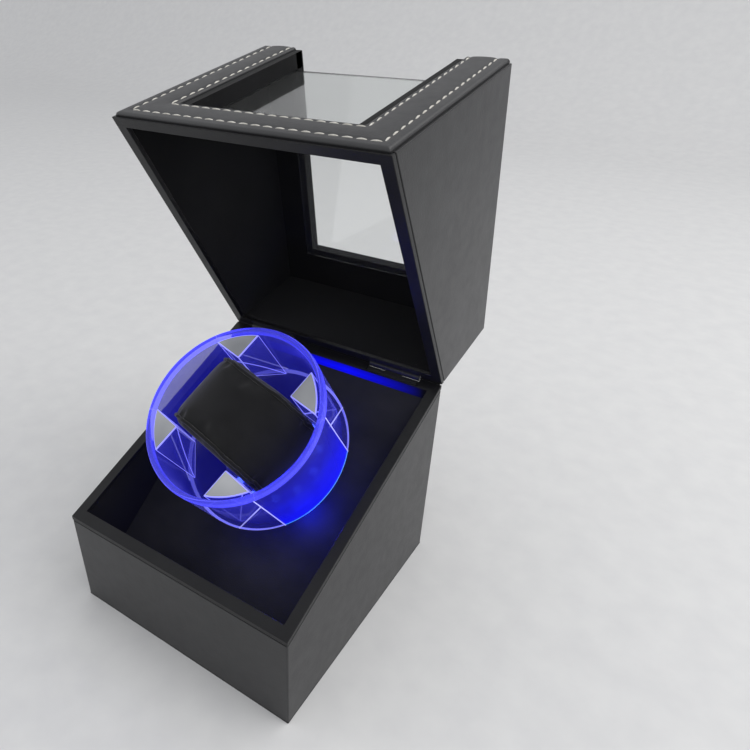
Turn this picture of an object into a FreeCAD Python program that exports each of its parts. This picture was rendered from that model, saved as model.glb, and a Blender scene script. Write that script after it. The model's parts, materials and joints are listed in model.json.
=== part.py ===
"""Watch winder box: a leather covered box cut by a sloping plane into a base and a hinged,
windowed lid, with a clear motor driven drum that holds a watch cushion on a tilted platform.

Frame: X to the right, Y to the rear, Z up, millimetres; the origin is the centre of the
underside.  The lid parts are drawn closed and placed open; the drum parts are drawn about
their own axis and placed on the tilted drive axis.
"""
import FreeCAD, Part
import math
import os
import re

import Sketcher
from FreeCAD import Placement, Rotation, Vector

doc = FreeCAD.newDocument("watch_winder_box")
sheet = doc.addObject("Spreadsheet::Sheet", "dims")

# ---------------------------------------------------------------- driving dimensions
DIMENSIONS = {
    # outer box
    "box_width": 110.0,
    "box_depth": 114.0,
    "front_height": 47.0,        # the cut plane at the front face
    "rear_height": 91.4,         # the cut plane at the rear face
    "closed_height": 137.7,      # top of the lid's leather, without the padded frame on it
    "seam_gap": 0.3,             # between base and lid when closed
    "lid_open_angle": 80.0,      # the angle the lid stands open at rest
    # wall layers, from outside to inside
    "leather": 0.8,
    "board": 3.0,
    "velvet": 0.7,
    "rim_trim": 2.0,             # wrapped strip along the cut plane
    "rim_groove": 0.5,           # shadow line under the strip
    "felt": 0.8,                 # under the base
    # lid window
    "lid_front_inset": 0.7,      # the lid's leather stands back by the padded frame
    "window_half": 34.5,
    "window_sill": 64.0,
    "window_rear": 33.0,
    "frame_pad": 1.0,            # thickness of the padded stitched frames
    "frame_side_inset": 1.0,
    "frame_inner_half": 37.5,
    "pane": 1.2,
    "pane_frame": 2.5,           # inner frame that the front pane is glued to
    "pane_lap": 3.0,
    # drum and its axis
    "drum_tilt": 35.5,
    "drum_clock": -14.4,
    "drum_rim_y": -15.2,
    "drum_rim_z": 97.4,
    "drum_radius": 37.3,
    "drum_rear_radius": 36.6,
    "drum_wall": 2.4,
    "drum_depth": 37.0,
    "drum_floor": 2.0,
    "strap_half": 18.0,          # half width of the channel the strap and cushion lie in
    "cross_half": 15.1,          # half width of the channel across it
    "block_radius": 34.0,
    # platform and drive, measured down the axis from the drum's rear face
    "platform_drop": 12.0,
    "platform_board": 3.0,
    "spindle_radius": 3.0,
    "spindle_play": 0.05,
    "bearing_radius": 6.9,
    "pulley_groove": 14.0,
    "motor_groove": 4.6667,
    "motor_offset": 32.0,
    "pulley_top": 24.0,
    "pulley_bottom": 31.0,
    # cushion
    "cushion_half_width": 17.0,
    "cushion_half_length": 27.5,
    "cushion_height": 39.4,
    # hinges
    "hinge_place": 33.0,
    "hinge_width": 24.0,
    "pin_radius": 0.6,
    "knuckle_radius": 1.4,
    "leaf": 0.8,
    # rear controls
    "button_height": 20.0,
    "inlet_place": -25.0,
}

for row, (alias, value) in enumerate(DIMENSIONS.items(), start=1):
    sheet.set(f"A{row}", alias)
    sheet.set(f"B{row}", str(value))
    sheet.setAlias(f"B{row}", alias)
doc.recompute()

D = dict(DIMENSIONS)
ALIASES = re.compile(r"\b(" + "|".join(sorted(DIMENSIONS, key=len, reverse=True)) + r")\b")


def bind(text):
    """An expression written with plain aliases, as the document wants it."""
    return ALIASES.sub(r"dims.\1", str(text))


def number(text):
    """The value of such an expression now."""
    value = sheet.evalExpression(bind(text))
    return float(getattr(value, "Value", value))


def cut_z(y, shift="0"):
    """Height of the sloping cut plane at depth y, moved up by shift."""
    slope = "(rear_height - front_height) / box_depth"
    return f"front_height + {slope} * (({y}) + box_depth / 2) + ({shift})"


# ---------------------------------------------------------------- frames
HOME = Placement()
PIVOT = Vector(0, D["box_depth"] / 2, D["rear_height"] + D["seam_gap"] / 2)
LID = Placement(Vector(), Rotation(Vector(1, 0, 0), -D["lid_open_angle"]), PIVOT)
SLOPE = math.degrees(math.atan2(D["rear_height"] - D["front_height"], D["box_depth"]))
HINGE = Placement(PIVOT, Rotation(Vector(1, 0, 0), SLOPE))

TILT = Rotation(Vector(1, 0, 0), D["drum_tilt"])
AXIS = TILT.multVec(Vector(0, 0, 1))
RIM_CENTRE = Vector(0, D["drum_rim_y"], D["drum_rim_z"])
DRUM = Placement(RIM_CENTRE, TILT * Rotation(Vector(0, 0, 1), D["drum_clock"]))
DRIVE = Placement(RIM_CENTRE - AXIS * D["drum_depth"], TILT)

PARTS = []


def keep(obj, name):
    """Name a finished sub-part and put it on the list that is written out."""
    obj.Label = name
    PARTS.append(obj)
    return obj


# ---------------------------------------------------------------- sketches and features
def plane(body, role):
    return [feature for feature in body.Origin.OriginFeatures if feature.Role == role][0]


def sketch_on(body, role, offset="0", tilt=None):
    """A sketch on one of the body's origin planes, moved along its normal by offset."""
    sketch = body.newObject("Sketcher::SketchObject", "Sketch")
    sketch.AttachmentSupport = (plane(body, role + "_Plane"), [""])
    sketch.MapMode = "FlatFace"
    if tilt is None:
        sketch.AttachmentOffset = Placement(Vector(0, 0, number(offset)), Rotation())
        sketch.setExpression("AttachmentOffset.Base.z", bind(offset))
    else:
        sketch.AttachmentOffset = tilt
    return sketch


def fix_point(sketch, geometry, point, x, y):
    """Tie one point of a sketch to the sheet, measured from the origin."""
    for kind, text in (("DistanceX", x), ("DistanceY", y)):
        constraint = Sketcher.Constraint(kind, -1, 1, geometry, point, number(text))
        index = sketch.addConstraint(constraint)
        sketch.setExpression(f"Constraints[{index}]", bind(text))


def polygon(sketch, points):
    """A closed outline of straight lines through points given as expressions."""
    corners = [Vector(number(x), number(y), 0) for x, y in points]
    lines = []
    for here, there in zip(corners, corners[1:] + corners[:1]):
        lines.append(sketch.addGeometry(Part.LineSegment(here, there), False))
    for here, there in zip(lines, lines[1:] + lines[:1]):
        sketch.addConstraint(Sketcher.Constraint("Coincident", here, 2, there, 1))
    for line, (x, y) in zip(lines, points):
        fix_point(sketch, line, 1, x, y)


def rectangle(sketch, x_low, x_high, y_low, y_high):
    polygon(sketch, [(x_low, y_low), (x_high, y_low), (x_high, y_high), (x_low, y_high)])


def circle(sketch, x, y, radius):
    shape = Part.Circle(Vector(number(x), number(y), 0), Vector(0, 0, 1), number(radius))
    index = sketch.addGeometry(shape, False)
    fix_point(sketch, index, 3, x, y)
    index = sketch.addConstraint(Sketcher.Constraint("Radius", index, number(radius)))
    sketch.setExpression(f"Constraints[{index}]", bind(radius))


def draw(sketch, loops):
    """Each loop is a list of points, or (x, y, radius) for a circle."""
    for loop in loops:
        if isinstance(loop, list):
            polygon(sketch, loop)
        else:
            circle(sketch, *loop)


def box_loop(x_low, x_high, y_low, y_high):
    return [(x_low, y_low), (x_high, y_low), (x_high, y_high), (x_low, y_high)]


def new_body(name, frame):
    body = doc.addObject("PartDesign::Body", name)
    body.Placement = frame
    return body


def pad(body, role, low, high, loops, tilt=None):
    """Pad the loops from low to high along the plane's own axis (X, Y or Z)."""
    start = f"-({high})" if role == "XZ" else low
    sketch = sketch_on(body, role, start, tilt)
    draw(sketch, loops)
    feature = body.newObject("PartDesign::Pad", "Pad")
    feature.Profile = sketch
    feature.setExpression("Length", bind(f"({high}) - ({low})"))
    doc.recompute()
    return feature


def pocket(body, role, low, high, loops, tilt=None):
    """Cut the loops from low to high along the plane's own axis; the volume must fall."""
    before = body.Shape.Volume
    start = f"-({low})" if role == "XZ" else high
    sketch = sketch_on(body, role, start, tilt)
    draw(sketch, loops)
    feature = body.newObject("PartDesign::Pocket", "Pocket")
    feature.Profile = sketch
    feature.setExpression("Length", bind(f"({high}) - ({low})"))
    doc.recompute()
    if not body.Shape.Volume < before - 1e-6:
        raise RuntimeError(f"a pocket of {body.Name} cuts nothing")
    return feature


def slab(name, role, low, high, loops, frame=HOME):
    body = new_body(name, frame)
    pad(body, role, low, high, loops)
    return keep(body, name)


def turned_body(name, profile, frame=HOME):
    """A body turned about its own Z axis from (radius, height) points."""
    body = new_body(name, frame)
    sketch = sketch_on(body, "XZ")
    polygon(sketch, profile)
    feature = body.newObject("PartDesign::Revolution", "Revolution")
    feature.Profile = sketch
    feature.ReferenceAxis = (sketch, ["V_Axis"])
    feature.Angle = 360
    doc.recompute()
    return body


def turned(name, profile, frame=HOME):
    return keep(turned_body(name, profile, frame), name)


def round_edges(body, radius, chosen):
    """Fillet the edges of the body that the function chosen accepts."""
    tip = body.Tip
    names = [f"Edge{i}" for i, edge in enumerate(tip.Shape.Edges, start=1) if chosen(edge)]
    feature = body.newObject("PartDesign::Fillet", "Fillet")
    feature.Base = (tip, names)
    feature.Radius = radius
    doc.recompute()
    return feature


def group(name, bodies):
    """Identical loose pieces share one node as separate solids."""
    compound = doc.addObject("Part::Compound", name)
    compound.Links = bodies
    return keep(compound, name)


def at(frame, x, y, z, turn=None):
    return frame * Placement(Vector(x, y, z), turn or Rotation())


def trim_to_cut_plane(body, shift, remove_above):
    """Cut a body off along the sloping plane."""
    far, top, half = "100", "200", "box_width"
    level = top if remove_above else "-20"
    loop = [(f"-{far}", cut_z(f"-{far}", shift)), (far, cut_z(far, shift)), (far, level), (f"-{far}", level)]
    pocket(body, "YZ", f"-{half}", half, [loop])


# ---------------------------------------------------------------- shared wall positions
SIDE_OUT = "box_width / 2"
SIDE_BOARD = "box_width / 2 - leather"
SIDE_VELVET = "box_width / 2 - leather - board"
SIDE_IN = "box_width / 2 - leather - board - velvet"
REAR_OUT = "box_depth / 2"
REAR_BOARD = "box_depth / 2 - leather"
REAR_VELVET = "box_depth / 2 - leather - board"
REAR_IN = "box_depth / 2 - leather - board - velvet"
FLOOR_TOP = "felt + board"
PANEL_DROP = "-rim_trim"

KNUCKLE_SPACE = D["knuckle_radius"] + 0.3
LEAF_REACH = 4.2
RECESS_REACH = 4.3


def hinge_recess(body):
    """Room in a wall edge for the hinge leaves and their knuckles, seen along X."""
    half = D["hinge_width"] / 2 + 0.3
    for side in (-1, 1):
        middle = side * D["hinge_place"]
        tilt = Placement(
            Vector(PIVOT.y, PIVOT.z, middle + half), Rotation(Vector(0, 0, 1), SLOPE)
        )
        depth = D["leaf"] + 0.25
        leaf_space = [box_loop(f"-{RECESS_REACH}", "0.01", f"-{depth}", f"{depth}")]
        pocket(body, "YZ", "0", f"{2 * half}", leaf_space, tilt)
        pocket(body, "YZ", "0", f"{2 * half}", [("0", "0", f"{KNUCKLE_SPACE}")], tilt)


# ---------------------------------------------------------------- base box
def wall_ring(name, side_out, front_out, rear_out, thickness, low, drop):
    """Four thin walls in one piece, cut off along the slope."""
    body = new_body(name, HOME)
    outer = box_loop(f"-({side_out})", side_out, f"-({front_out})", rear_out)
    inner = box_loop(
        f"-({side_out}) + {thickness}",
        f"{side_out} - {thickness}",
        f"-({front_out}) + {thickness}",
        f"{rear_out} - {thickness}",
    )
    pad(body, "XY", low, "rear_height + 5", [outer, inner])
    trim_to_cut_plane(body, drop, remove_above=True)
    return keep(body, name)


def sloped_panel(name, x_low, x_high, y_low, y_high):
    """An upright base board whose top edge follows the slope."""
    loop = [
        (y_low, FLOOR_TOP),
        (y_high, FLOOR_TOP),
        (y_high, cut_z(y_high, PANEL_DROP)),
        (y_low, cut_z(y_low, PANEL_DROP)),
    ]
    return slab(name, "YZ", x_low, x_high, [loop])


INLET_HALF_WIDTH = 4.6
INLET_HALF_HEIGHT = 1.75
BEZEL_TUBE = 5.0


def rear_openings(body, low, high):
    """Holes for the power inlet and the mode button in a layer of the rear wall."""
    inlet = box_loop(
        f"inlet_place - {INLET_HALF_WIDTH}",
        f"inlet_place + {INLET_HALF_WIDTH}",
        f"button_height - {INLET_HALF_HEIGHT}",
        f"button_height + {INLET_HALF_HEIGHT}",
    )
    pocket(body, "XZ", low, high, [inlet, ("0", "button_height", f"{BEZEL_TUBE}")])


def make_base():
    side, rear = SIDE_OUT, REAR_OUT
    slab(
        "base_bottom_felt", "XY", "0", "felt",
        [box_loop(f"-{side}", side, f"-{rear}", rear)],
    )
    slab(
        "base_bottom_panel", "XY", "felt", FLOOR_TOP,
        [box_loop(f"-({SIDE_BOARD})", SIDE_BOARD, f"-({REAR_BOARD})", REAR_BOARD)],
    )
    sloped_panel("base_front_panel", f"-({SIDE_BOARD})", SIDE_BOARD, f"-({REAR_BOARD})", f"-({REAR_VELVET})")
    back = sloped_panel("base_rear_panel", f"-({SIDE_BOARD})", SIDE_BOARD, REAR_VELVET, REAR_BOARD)
    rear_openings(back, "box_depth / 2 - 10", "box_depth / 2 + 5")
    sloped_panel("base_left_panel", f"-({SIDE_BOARD})", f"-({SIDE_VELVET})", f"-({REAR_VELVET})", REAR_VELVET)
    sloped_panel("base_right_panel", SIDE_VELVET, SIDE_BOARD, f"-({REAR_VELVET})", REAR_VELVET)

    wrap = wall_ring(
        "base_leather_wrap", SIDE_OUT, REAR_OUT, REAR_OUT, "leather", "felt", "-rim_trim - rim_groove"
    )
    rear_openings(wrap, "box_depth / 2 - 10", "box_depth / 2 + 5")
    round_edges(wrap, 0.7, upright_corner)

    lining = wall_ring(
        "base_velvet_lining", SIDE_VELVET, REAR_VELVET, REAR_VELVET, "velvet", FLOOR_TOP, PANEL_DROP
    )
    rear_openings(lining, "box_depth / 2 - 10", "box_depth / 2 + 5")

    trim = new_body("base_rim_trim", HOME)
    outer = box_loop(f"-({side})", side, f"-({rear})", rear)
    inner = box_loop(f"-({SIDE_IN})", SIDE_IN, f"-({REAR_IN})", REAR_IN)
    pad(trim, "XY", "front_height - 5", "rear_height + 5", [outer, inner])
    trim_to_cut_plane(trim, "0", remove_above=True)
    trim_to_cut_plane(trim, PANEL_DROP, remove_above=False)
    hinge_recess(trim)
    keep(trim, "base_rim_trim")


def upright_corner(edge):
    """True for the vertical edges at the four outer corners of the box."""
    if abs(edge.Vertexes[0].X - edge.Vertexes[-1].X) > 0.01:
        return False
    if abs(edge.Vertexes[0].Y - edge.Vertexes[-1].Y) > 0.01:
        return False
    at_side = abs(abs(edge.Vertexes[0].X) - D["box_width"] / 2) < 0.01
    at_end = abs(edge.Vertexes[0].Y) > D["box_depth"] / 2 - D["lid_front_inset"] - 0.01
    return at_side and at_end


# ---------------------------------------------------------------- platform
AXIS_Y = "drum_rim_y + (drum_depth + platform_drop) * sin(drum_tilt)"
AXIS_Z = "drum_rim_z - (drum_depth + platform_drop) * cos(drum_tilt)"
SCREW_CIRCLE = 9.6
SCREW_SHANK = 0.85
PLATFORM_FIT = "0.1"


def platform_z(y, down):
    """Height at depth y of a surface lying down below the platform's top, square to it."""
    return f"{AXIS_Z} + (({y}) - ({AXIS_Y})) * tan(drum_tilt) - ({down}) / cos(drum_tilt)"


def platform_layer(name, down_low, down_high):
    reach = f"({REAR_IN}) - {PLATFORM_FIT}"
    loop = [
        (f"-({reach})", platform_z(f"-({reach})", down_high)),
        (reach, platform_z(reach, down_high)),
        (reach, platform_z(reach, down_low)),
        (f"-({reach})", platform_z(f"-({reach})", down_low)),
    ]
    half = f"({SIDE_IN}) - {PLATFORM_FIT}"
    body = slab(name, "YZ", f"-({half})", half, [loop])
    tilt = Placement(Vector(0, number(AXIS_Y), number(AXIS_Z)), TILT) * Placement(Vector(0, 0, 5), Rotation())
    pocket(body, "XY", "0", "30", [("0", "0", f"{D['bearing_radius'] + 0.1}")], tilt)
    return body


def platform_screw_places():
    """Screws up into the platform: three for the bearing, four for the motor bracket."""
    places = []
    for turn in (90, 210, 330):
        angle = math.radians(turn)
        places.append((SCREW_CIRCLE * math.cos(angle), SCREW_CIRCLE * math.sin(angle), BEARING_FLANGE))
    for side in (-1, 1):
        for x in (D["motor_offset"] - 4.5, D["motor_offset"] + 4.5):
            places.append((x, side * BRACKET_FOOT_MIDDLE, BRACKET_SHEET))
    return places


BEARING_FLANGE = 2.5
BRACKET_SHEET = 1.5
BRACKET_FOOT_MIDDLE = 22.5
UNDERSIDE = D["platform_drop"] + D["velvet"] + D["platform_board"]


def make_platform():
    platform_layer("platform_velvet", "0", "velvet")
    board = platform_layer("platform_board", "velvet", "velvet + platform_board")
    axis_foot = Placement(Vector(0, number(AXIS_Y), number(AXIS_Z)), TILT)
    tilt = axis_foot * Placement(Vector(0, 0, -1.5), Rotation())
    holes = [(f"{x}", f"{y}", f"{SCREW_SHANK}") for x, y, _ in platform_screw_places()]
    pocket(board, "XY", "0", "20", holes, tilt)

    depth, width = 8.0, 6.0
    reach_low, reach_high = "-40", "44"
    cleats = []
    for side in (-1, 1):
        body = new_body("cleat", HOME)
        down = "velvet + platform_board"
        loop = [
            (reach_low, platform_z(reach_low, f"{down} + {depth}")),
            (reach_high, platform_z(reach_high, f"{down} + {depth}")),
            (reach_high, platform_z(reach_high, down)),
            (reach_low, platform_z(reach_low, down)),
        ]
        inner = f"({SIDE_IN}) - {width}"
        low, high = (f"-({SIDE_IN})", f"-({inner})") if side < 0 else (inner, SIDE_IN)
        pad(body, "YZ", low, high, [loop])
        cleats.append(body)
    group("platform_cleats", cleats)


# ---------------------------------------------------------------- drive, in the DRIVE frame
HUB_FLANGE = 2.5
HUB_BOTTOM = 8.0
BEARING_TOP = 8.3
BEARING_BOTTOM = 22.0
SPINDLE_BOTTOM = 34.0
GEARBOX_TOP = 34.0
GEARBOX_BOTTOM = 45.0
MOTOR_BOTTOM = 57.0
HUB_SCREW_CIRCLE = 9.0


def screw_body(frame, head_radius, head, shank_radius, shank):
    """A pan head screw: the head stands above the frame's origin, the shank goes down."""
    profile = [
        ("0", f"-{shank}"),
        (f"{shank_radius}", f"-{shank}"),
        (f"{shank_radius}", "0"),
        (f"{head_radius}", "0"),
        (f"{head_radius}", f"{head * 0.6}"),
        (f"{head_radius * 0.6}", f"{head}"),
        ("0", f"{head}"),
    ]
    return turned_body("screw", profile, frame)


def pulley(name, groove, bore, frame):
    top, bottom = -D["pulley_top"], -D["pulley_bottom"]
    rim = f"{groove} + 2"
    profile = [
        (bore, f"{bottom}"),
        (rim, f"{bottom}"),
        (rim, f"{bottom + 1}"),
        (groove, f"{bottom + 1.9}"),
        (groove, f"{top - 1.9}"),
        (rim, f"{top - 1}"),
        (rim, f"{top}"),
        (bore, f"{top}"),
    ]
    return turned(name, profile, frame)


def make_drive():
    upside_down = Rotation(Vector(1, 0, 0), 180)
    hub = turned(
        "drum_hub",
        [
            ("spindle_radius", f"-{HUB_BOTTOM}"),
            ("6", f"-{HUB_BOTTOM}"),
            ("6", f"-{HUB_FLANGE}"),
            ("13", f"-{HUB_FLANGE}"),
            ("13", "0"),
            ("spindle_radius", "0"),
        ],
        DRIVE,
    )
    pocket(hub, "XY", "-10", "1", [(f"{x}", f"{y}", f"{SCREW_SHANK}") for x, y in hub_screw_places()])
    group(
        "hub_screws",
        [
            screw_body(at(DRIVE, x, y, D["drum_floor"]), 1.8, 1.2, SCREW_SHANK, 4.2)
            for x, y in hub_screw_places()
        ],
    )
    turned(
        "drive_spindle",
        [
            ("0", f"-{SPINDLE_BOTTOM}"), ("spindle_radius", f"-{SPINDLE_BOTTOM}"),
            ("spindle_radius", "0"), ("0", "0"),
        ],
        DRIVE,
    )
    bore = "spindle_radius + spindle_play"
    tube = "bearing_radius"
    bearing = turned(
        "spindle_bearing",
        [
            (bore, f"-{BEARING_BOTTOM}"),
            (tube, f"-{BEARING_BOTTOM}"),
            (tube, f"-{UNDERSIDE + BEARING_FLANGE}"),
            ("12", f"-{UNDERSIDE + BEARING_FLANGE}"),
            ("12", f"-{UNDERSIDE}"),
            (tube, f"-{UNDERSIDE}"),
            (tube, f"-{BEARING_TOP}"),
            (bore, f"-{BEARING_TOP}"),
        ],
        DRIVE,
    )
    bearing_holes = [(f"{x}", f"{y}", f"{SCREW_SHANK}") for x, y, _ in platform_screw_places()[:3]]
    pocket(bearing, "XY", "-30", "-10", bearing_holes)
    turned(
        "spindle_clip",
        [("spindle_radius", "-23.1"), ("5", "-23.1"), ("5", "-22.3"), ("spindle_radius", "-22.3")],
        DRIVE,
    )
    pulley("spindle_pulley", "pulley_groove", "spindle_radius", DRIVE)

    motor = at(DRIVE, D["motor_offset"], 0, 0)
    pulley("motor_pulley", "motor_groove", "1.5", motor)
    turned("motor_shaft", [("0", "-36"), ("1.5", "-36"), ("1.5", "-24"), ("0", "-24")], motor)
    gearbox = turned(
        "motor_gearbox",
        [
            ("1.55", f"-{GEARBOX_TOP + 2.2}"),
            ("0", f"-{GEARBOX_TOP + 2.2}"),
            ("0", f"-{GEARBOX_BOTTOM}"),
            ("12", f"-{GEARBOX_BOTTOM}"),
            ("12", f"-{GEARBOX_TOP}"),
            ("3.5", f"-{GEARBOX_TOP}"),
            ("3.5", f"-{GEARBOX_TOP - BRACKET_SHEET}"),
            ("1.55", f"-{GEARBOX_TOP - BRACKET_SHEET}"),
        ],
        motor,
    )
    motor_screws = [(0, -9.3), (0, 9.3)]
    holes = [(f"{x}", f"{y}", f"{SCREW_SHANK}") for x, y in motor_screws]
    pocket(gearbox, "XY", "-37", f"-{GEARBOX_TOP}", holes)
    turned(
        "motor_housing",
        [
            ("0", f"-{MOTOR_BOTTOM}"),
            ("9", f"-{MOTOR_BOTTOM}"),
            ("10", f"-{MOTOR_BOTTOM - 1}"),
            ("10", f"-{GEARBOX_BOTTOM}"),
            ("0", f"-{GEARBOX_BOTTOM}"),
        ],
        motor,
    )

    under, sheet_t = UNDERSIDE, BRACKET_SHEET
    low = GEARBOX_TOP
    foot, leg = 26.0, 19.0
    outline = [
        (-foot, -under), (-foot, -under - sheet_t), (-leg, -under - sheet_t), (-leg, -low), (leg, -low),
        (leg, -under - sheet_t), (foot, -under - sheet_t), (foot, -under), (leg - sheet_t, -under),
        (leg - sheet_t, -low + sheet_t), (-leg + sheet_t, -low + sheet_t), (-leg + sheet_t, -under),
    ]
    bracket = slab("motor_bracket", "YZ", "-8", "8", [[(f"{y}", f"{z}") for y, z in outline]], motor)
    bracket_holes = [("0", "0", "3.5")] + holes
    pocket(bracket, "XY", f"-{low}", f"-{low - sheet_t}", bracket_holes)
    foot_rows = (-BRACKET_FOOT_MIDDLE, BRACKET_FOOT_MIDDLE)
    feet = [(f"{x}", f"{y}", f"{SCREW_SHANK}") for x in (-4.5, 4.5) for y in foot_rows]
    pocket(bracket, "XY", f"-{under + sheet_t}", f"-{under}", feet)

    screws = []
    for x, y, sheet_under in platform_screw_places():
        frame = at(DRIVE, x, y, -UNDERSIDE - sheet_under, upside_down)
        screws.append(screw_body(frame, 1.8, 1.2, SCREW_SHANK, sheet_under + 2.2))
    for x, y in motor_screws:
        frame = at(motor, x, y, -GEARBOX_TOP + BRACKET_SHEET)
        screws.append(screw_body(frame, 1.8, 1.2, SCREW_SHANK, BRACKET_SHEET + 2.2))
    group("pan_screws", screws)
    make_belt()


def hub_screw_places():
    return [
        (HUB_SCREW_CIRCLE * math.cos(math.radians(turn)), HUB_SCREW_CIRCLE * math.sin(math.radians(turn)))
        for turn in (45, 135, 225, 315)
    ]


def make_belt():
    """Flat belt round both pulleys: two arcs and two tangent runs, drawn twice."""
    play, thick = 0.15, 1.3
    body = new_body("drive_belt", DRIVE)
    sketch = sketch_on(body, "XY", "-28.3")
    gap = D["motor_offset"]
    turn = math.acos((D["pulley_groove"] - D["motor_groove"]) / gap)
    for extra in (play, play + thick):
        large, small = D["pulley_groove"] + extra, D["motor_groove"] + extra
        up, across = math.sin(turn), math.cos(turn)
        large_top = Vector(large * across, large * up, 0)
        large_low = Vector(large * across, -large * up, 0)
        small_top = Vector(gap + small * across, small * up, 0)
        small_low = Vector(gap + small * across, -small * up, 0)
        upper = Part.LineSegment(small_top, large_top)
        rear = Part.Arc(large_top, Vector(-large, 0, 0), large_low)
        lower = Part.LineSegment(large_low, small_low)
        front = Part.Arc(small_low, Vector(gap + small, 0, 0), small_top)
        ids = [sketch.addGeometry(shape, False) for shape in (upper, rear, lower, front)]
        for here, point, there, other in ((0, 2, 1, 1), (1, 2, 2, 1), (2, 2, 3, 1), (3, 2, 0, 1)):
            sketch.addConstraint(Sketcher.Constraint("Coincident", ids[here], point, ids[there], other))
        for index in ids:
            sketch.addConstraint(Sketcher.Constraint("Block", index))
    feature = body.newObject("PartDesign::Pad", "Pad")
    feature.Profile = sketch
    feature.Length = 1.6
    doc.recompute()
    keep(body, "drive_belt")


# ---------------------------------------------------------------- lights and electronics
RING_INNER, RING_CHIPS, RING_OUTER = 16.0, 20.0, 24.0
RING_THICK = 1.2
CHIP_HALF, CHIP_TALL = 1.5, 0.9


def make_electrics():
    top = D["platform_drop"]
    face = top - RING_THICK
    ring = [("0", "0", f"{RING_OUTER}"), ("0", "0", f"{RING_INNER}")]
    slab("led_ring_board", "XY", f"-{top}", f"-{face}", ring, DRIVE)
    chips = []
    outward = Placement(Vector(RING_CHIPS, 0, 0), Rotation())
    square = box_loop(f"-{CHIP_HALF}", f"{CHIP_HALF}", f"-{CHIP_HALF}", f"{CHIP_HALF}")
    for turn in range(0, 360, 30):
        frame = DRIVE * Placement(Vector(), Rotation(Vector(0, 0, 1), turn)) * outward
        body = new_body("chip", frame)
        pad(body, "XY", f"-{face}", f"-{face - CHIP_TALL}", [square])
        chips.append(body)
    group("led_chips", chips)

    x_low, x_high, y_low, y_high = -46.0, -10.0, 8.0, 44.0
    stand, thick, inset = 5.0, 1.6, 4.0
    corners = [(x, y) for x in (x_low + inset, x_high - inset) for y in (y_low + inset, y_high - inset)]
    board_low = f"{FLOOR_TOP} + {stand}"
    outline = box_loop(f"{x_low}", f"{x_high}", f"{y_low}", f"{y_high}")
    holes = [(f"{x}", f"{y}", f"{SCREW_SHANK}") for x, y in corners]
    slab("control_board", "XY", board_low, f"{board_low} + {thick}", [outline] + holes)
    posts = []
    for x, y in corners:
        post = turned_body(
            "post",
            [
                (f"{SCREW_SHANK}", FLOOR_TOP), ("2.6", FLOOR_TOP),
                ("2.6", board_low), (f"{SCREW_SHANK}", board_low),
            ],
            at(HOME, x, y, 0),
        )
        posts.append(post)
    group("board_posts", posts)
    height = number(board_low) + thick
    screws = [screw_body(at(HOME, x, y, height), 1.8, 1.2, SCREW_SHANK, 5.0) for x, y in corners]
    group("board_screws", screws)
    parts = []
    for x, y, width, depth, tall in ((-30, 26, 10, 10, 1.6), (-18, 30, 6, 9, 7.0), (-38, 30, 5, 5, 5.5)):
        body = new_body("component", at(HOME, x, y, height))
        outline = box_loop(f"-{width / 2}", f"{width / 2}", f"-{depth / 2}", f"{depth / 2}")
        pad(body, "XY", "0", f"{tall}", [outline])
        parts.append(body)
    group("board_components", parts)


def make_controls():
    inlet = slab(
        "power_inlet", "XZ", "box_depth / 2 - 9", "box_depth / 2",
        [box_loop(
            f"inlet_place - {INLET_HALF_WIDTH}", f"inlet_place + {INLET_HALF_WIDTH}",
            f"button_height - {INLET_HALF_HEIGHT}", f"button_height + {INLET_HALF_HEIGHT}",
        )],
    )
    slot = box_loop("inlet_place - 4.1", "inlet_place + 4.1", "button_height - 1.25", "button_height + 1.25")
    pocket(inlet, "XZ", "box_depth / 2 - 7", "box_depth / 2 + 1", [slot])

    rear_face = Placement(Vector(0, D["box_depth"] / 2, D["button_height"]), Rotation(Vector(1, 0, 0), -90))
    turned(
        "button_bezel",
        [
            ("0", "-11"), (f"{BEZEL_TUBE}", "-11"), (f"{BEZEL_TUBE}", "0"), ("6.2", "0"), ("6.2", "0.4"),
            ("5.8", "0.8"), ("4.15", "0.8"), ("4.15", "-9.6"), ("0", "-9.6"),
        ],
        rear_face,
    )
    turned(
        "mode_button",
        [("0", "-8"), ("4.05", "-8"), ("4.05", "0.9"), ("3.6", "1.3"), ("0", "1.4")],
        rear_face,
    )


# ---------------------------------------------------------------- drum, in the DRUM frame
def make_drum():
    depth = "drum_depth"
    shell = turned(
        "drum_shell",
        [
            ("0", f"-{depth}"),
            ("drum_rear_radius", f"-{depth}"),
            ("drum_radius", "-1.2"),
            ("drum_radius - 0.5", "-0.3"),
            ("drum_radius - 1.2", "0"),
            ("drum_radius - drum_wall + 0.3", "0"),
            ("drum_radius - drum_wall", "-0.3"),
            ("drum_rear_radius - drum_wall", f"-{depth} + drum_floor"),
            ("0", f"-{depth} + drum_floor"),
        ],
        DRUM,
    )
    turn = Rotation(Vector(0, 0, 1), -D["drum_clock"])
    places = [turn.multVec(Vector(x, y, 0)) for x, y in hub_screw_places()]
    holes = [(f"{p.x}", f"{p.y}", f"{SCREW_SHANK}") for p in places]
    pocket(shell, "XY", f"-{depth} - 1", f"-{depth} + drum_floor + 1", holes)

    number_of_block = 1
    for across in (1, -1):
        for along in (1, -1):
            corner_block(f"corner_block_{number_of_block}", along, across)
            number_of_block += 1


BLOCK_SETBACK = 0.8
BLOCK_SHALLOW = 17.0


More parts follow.
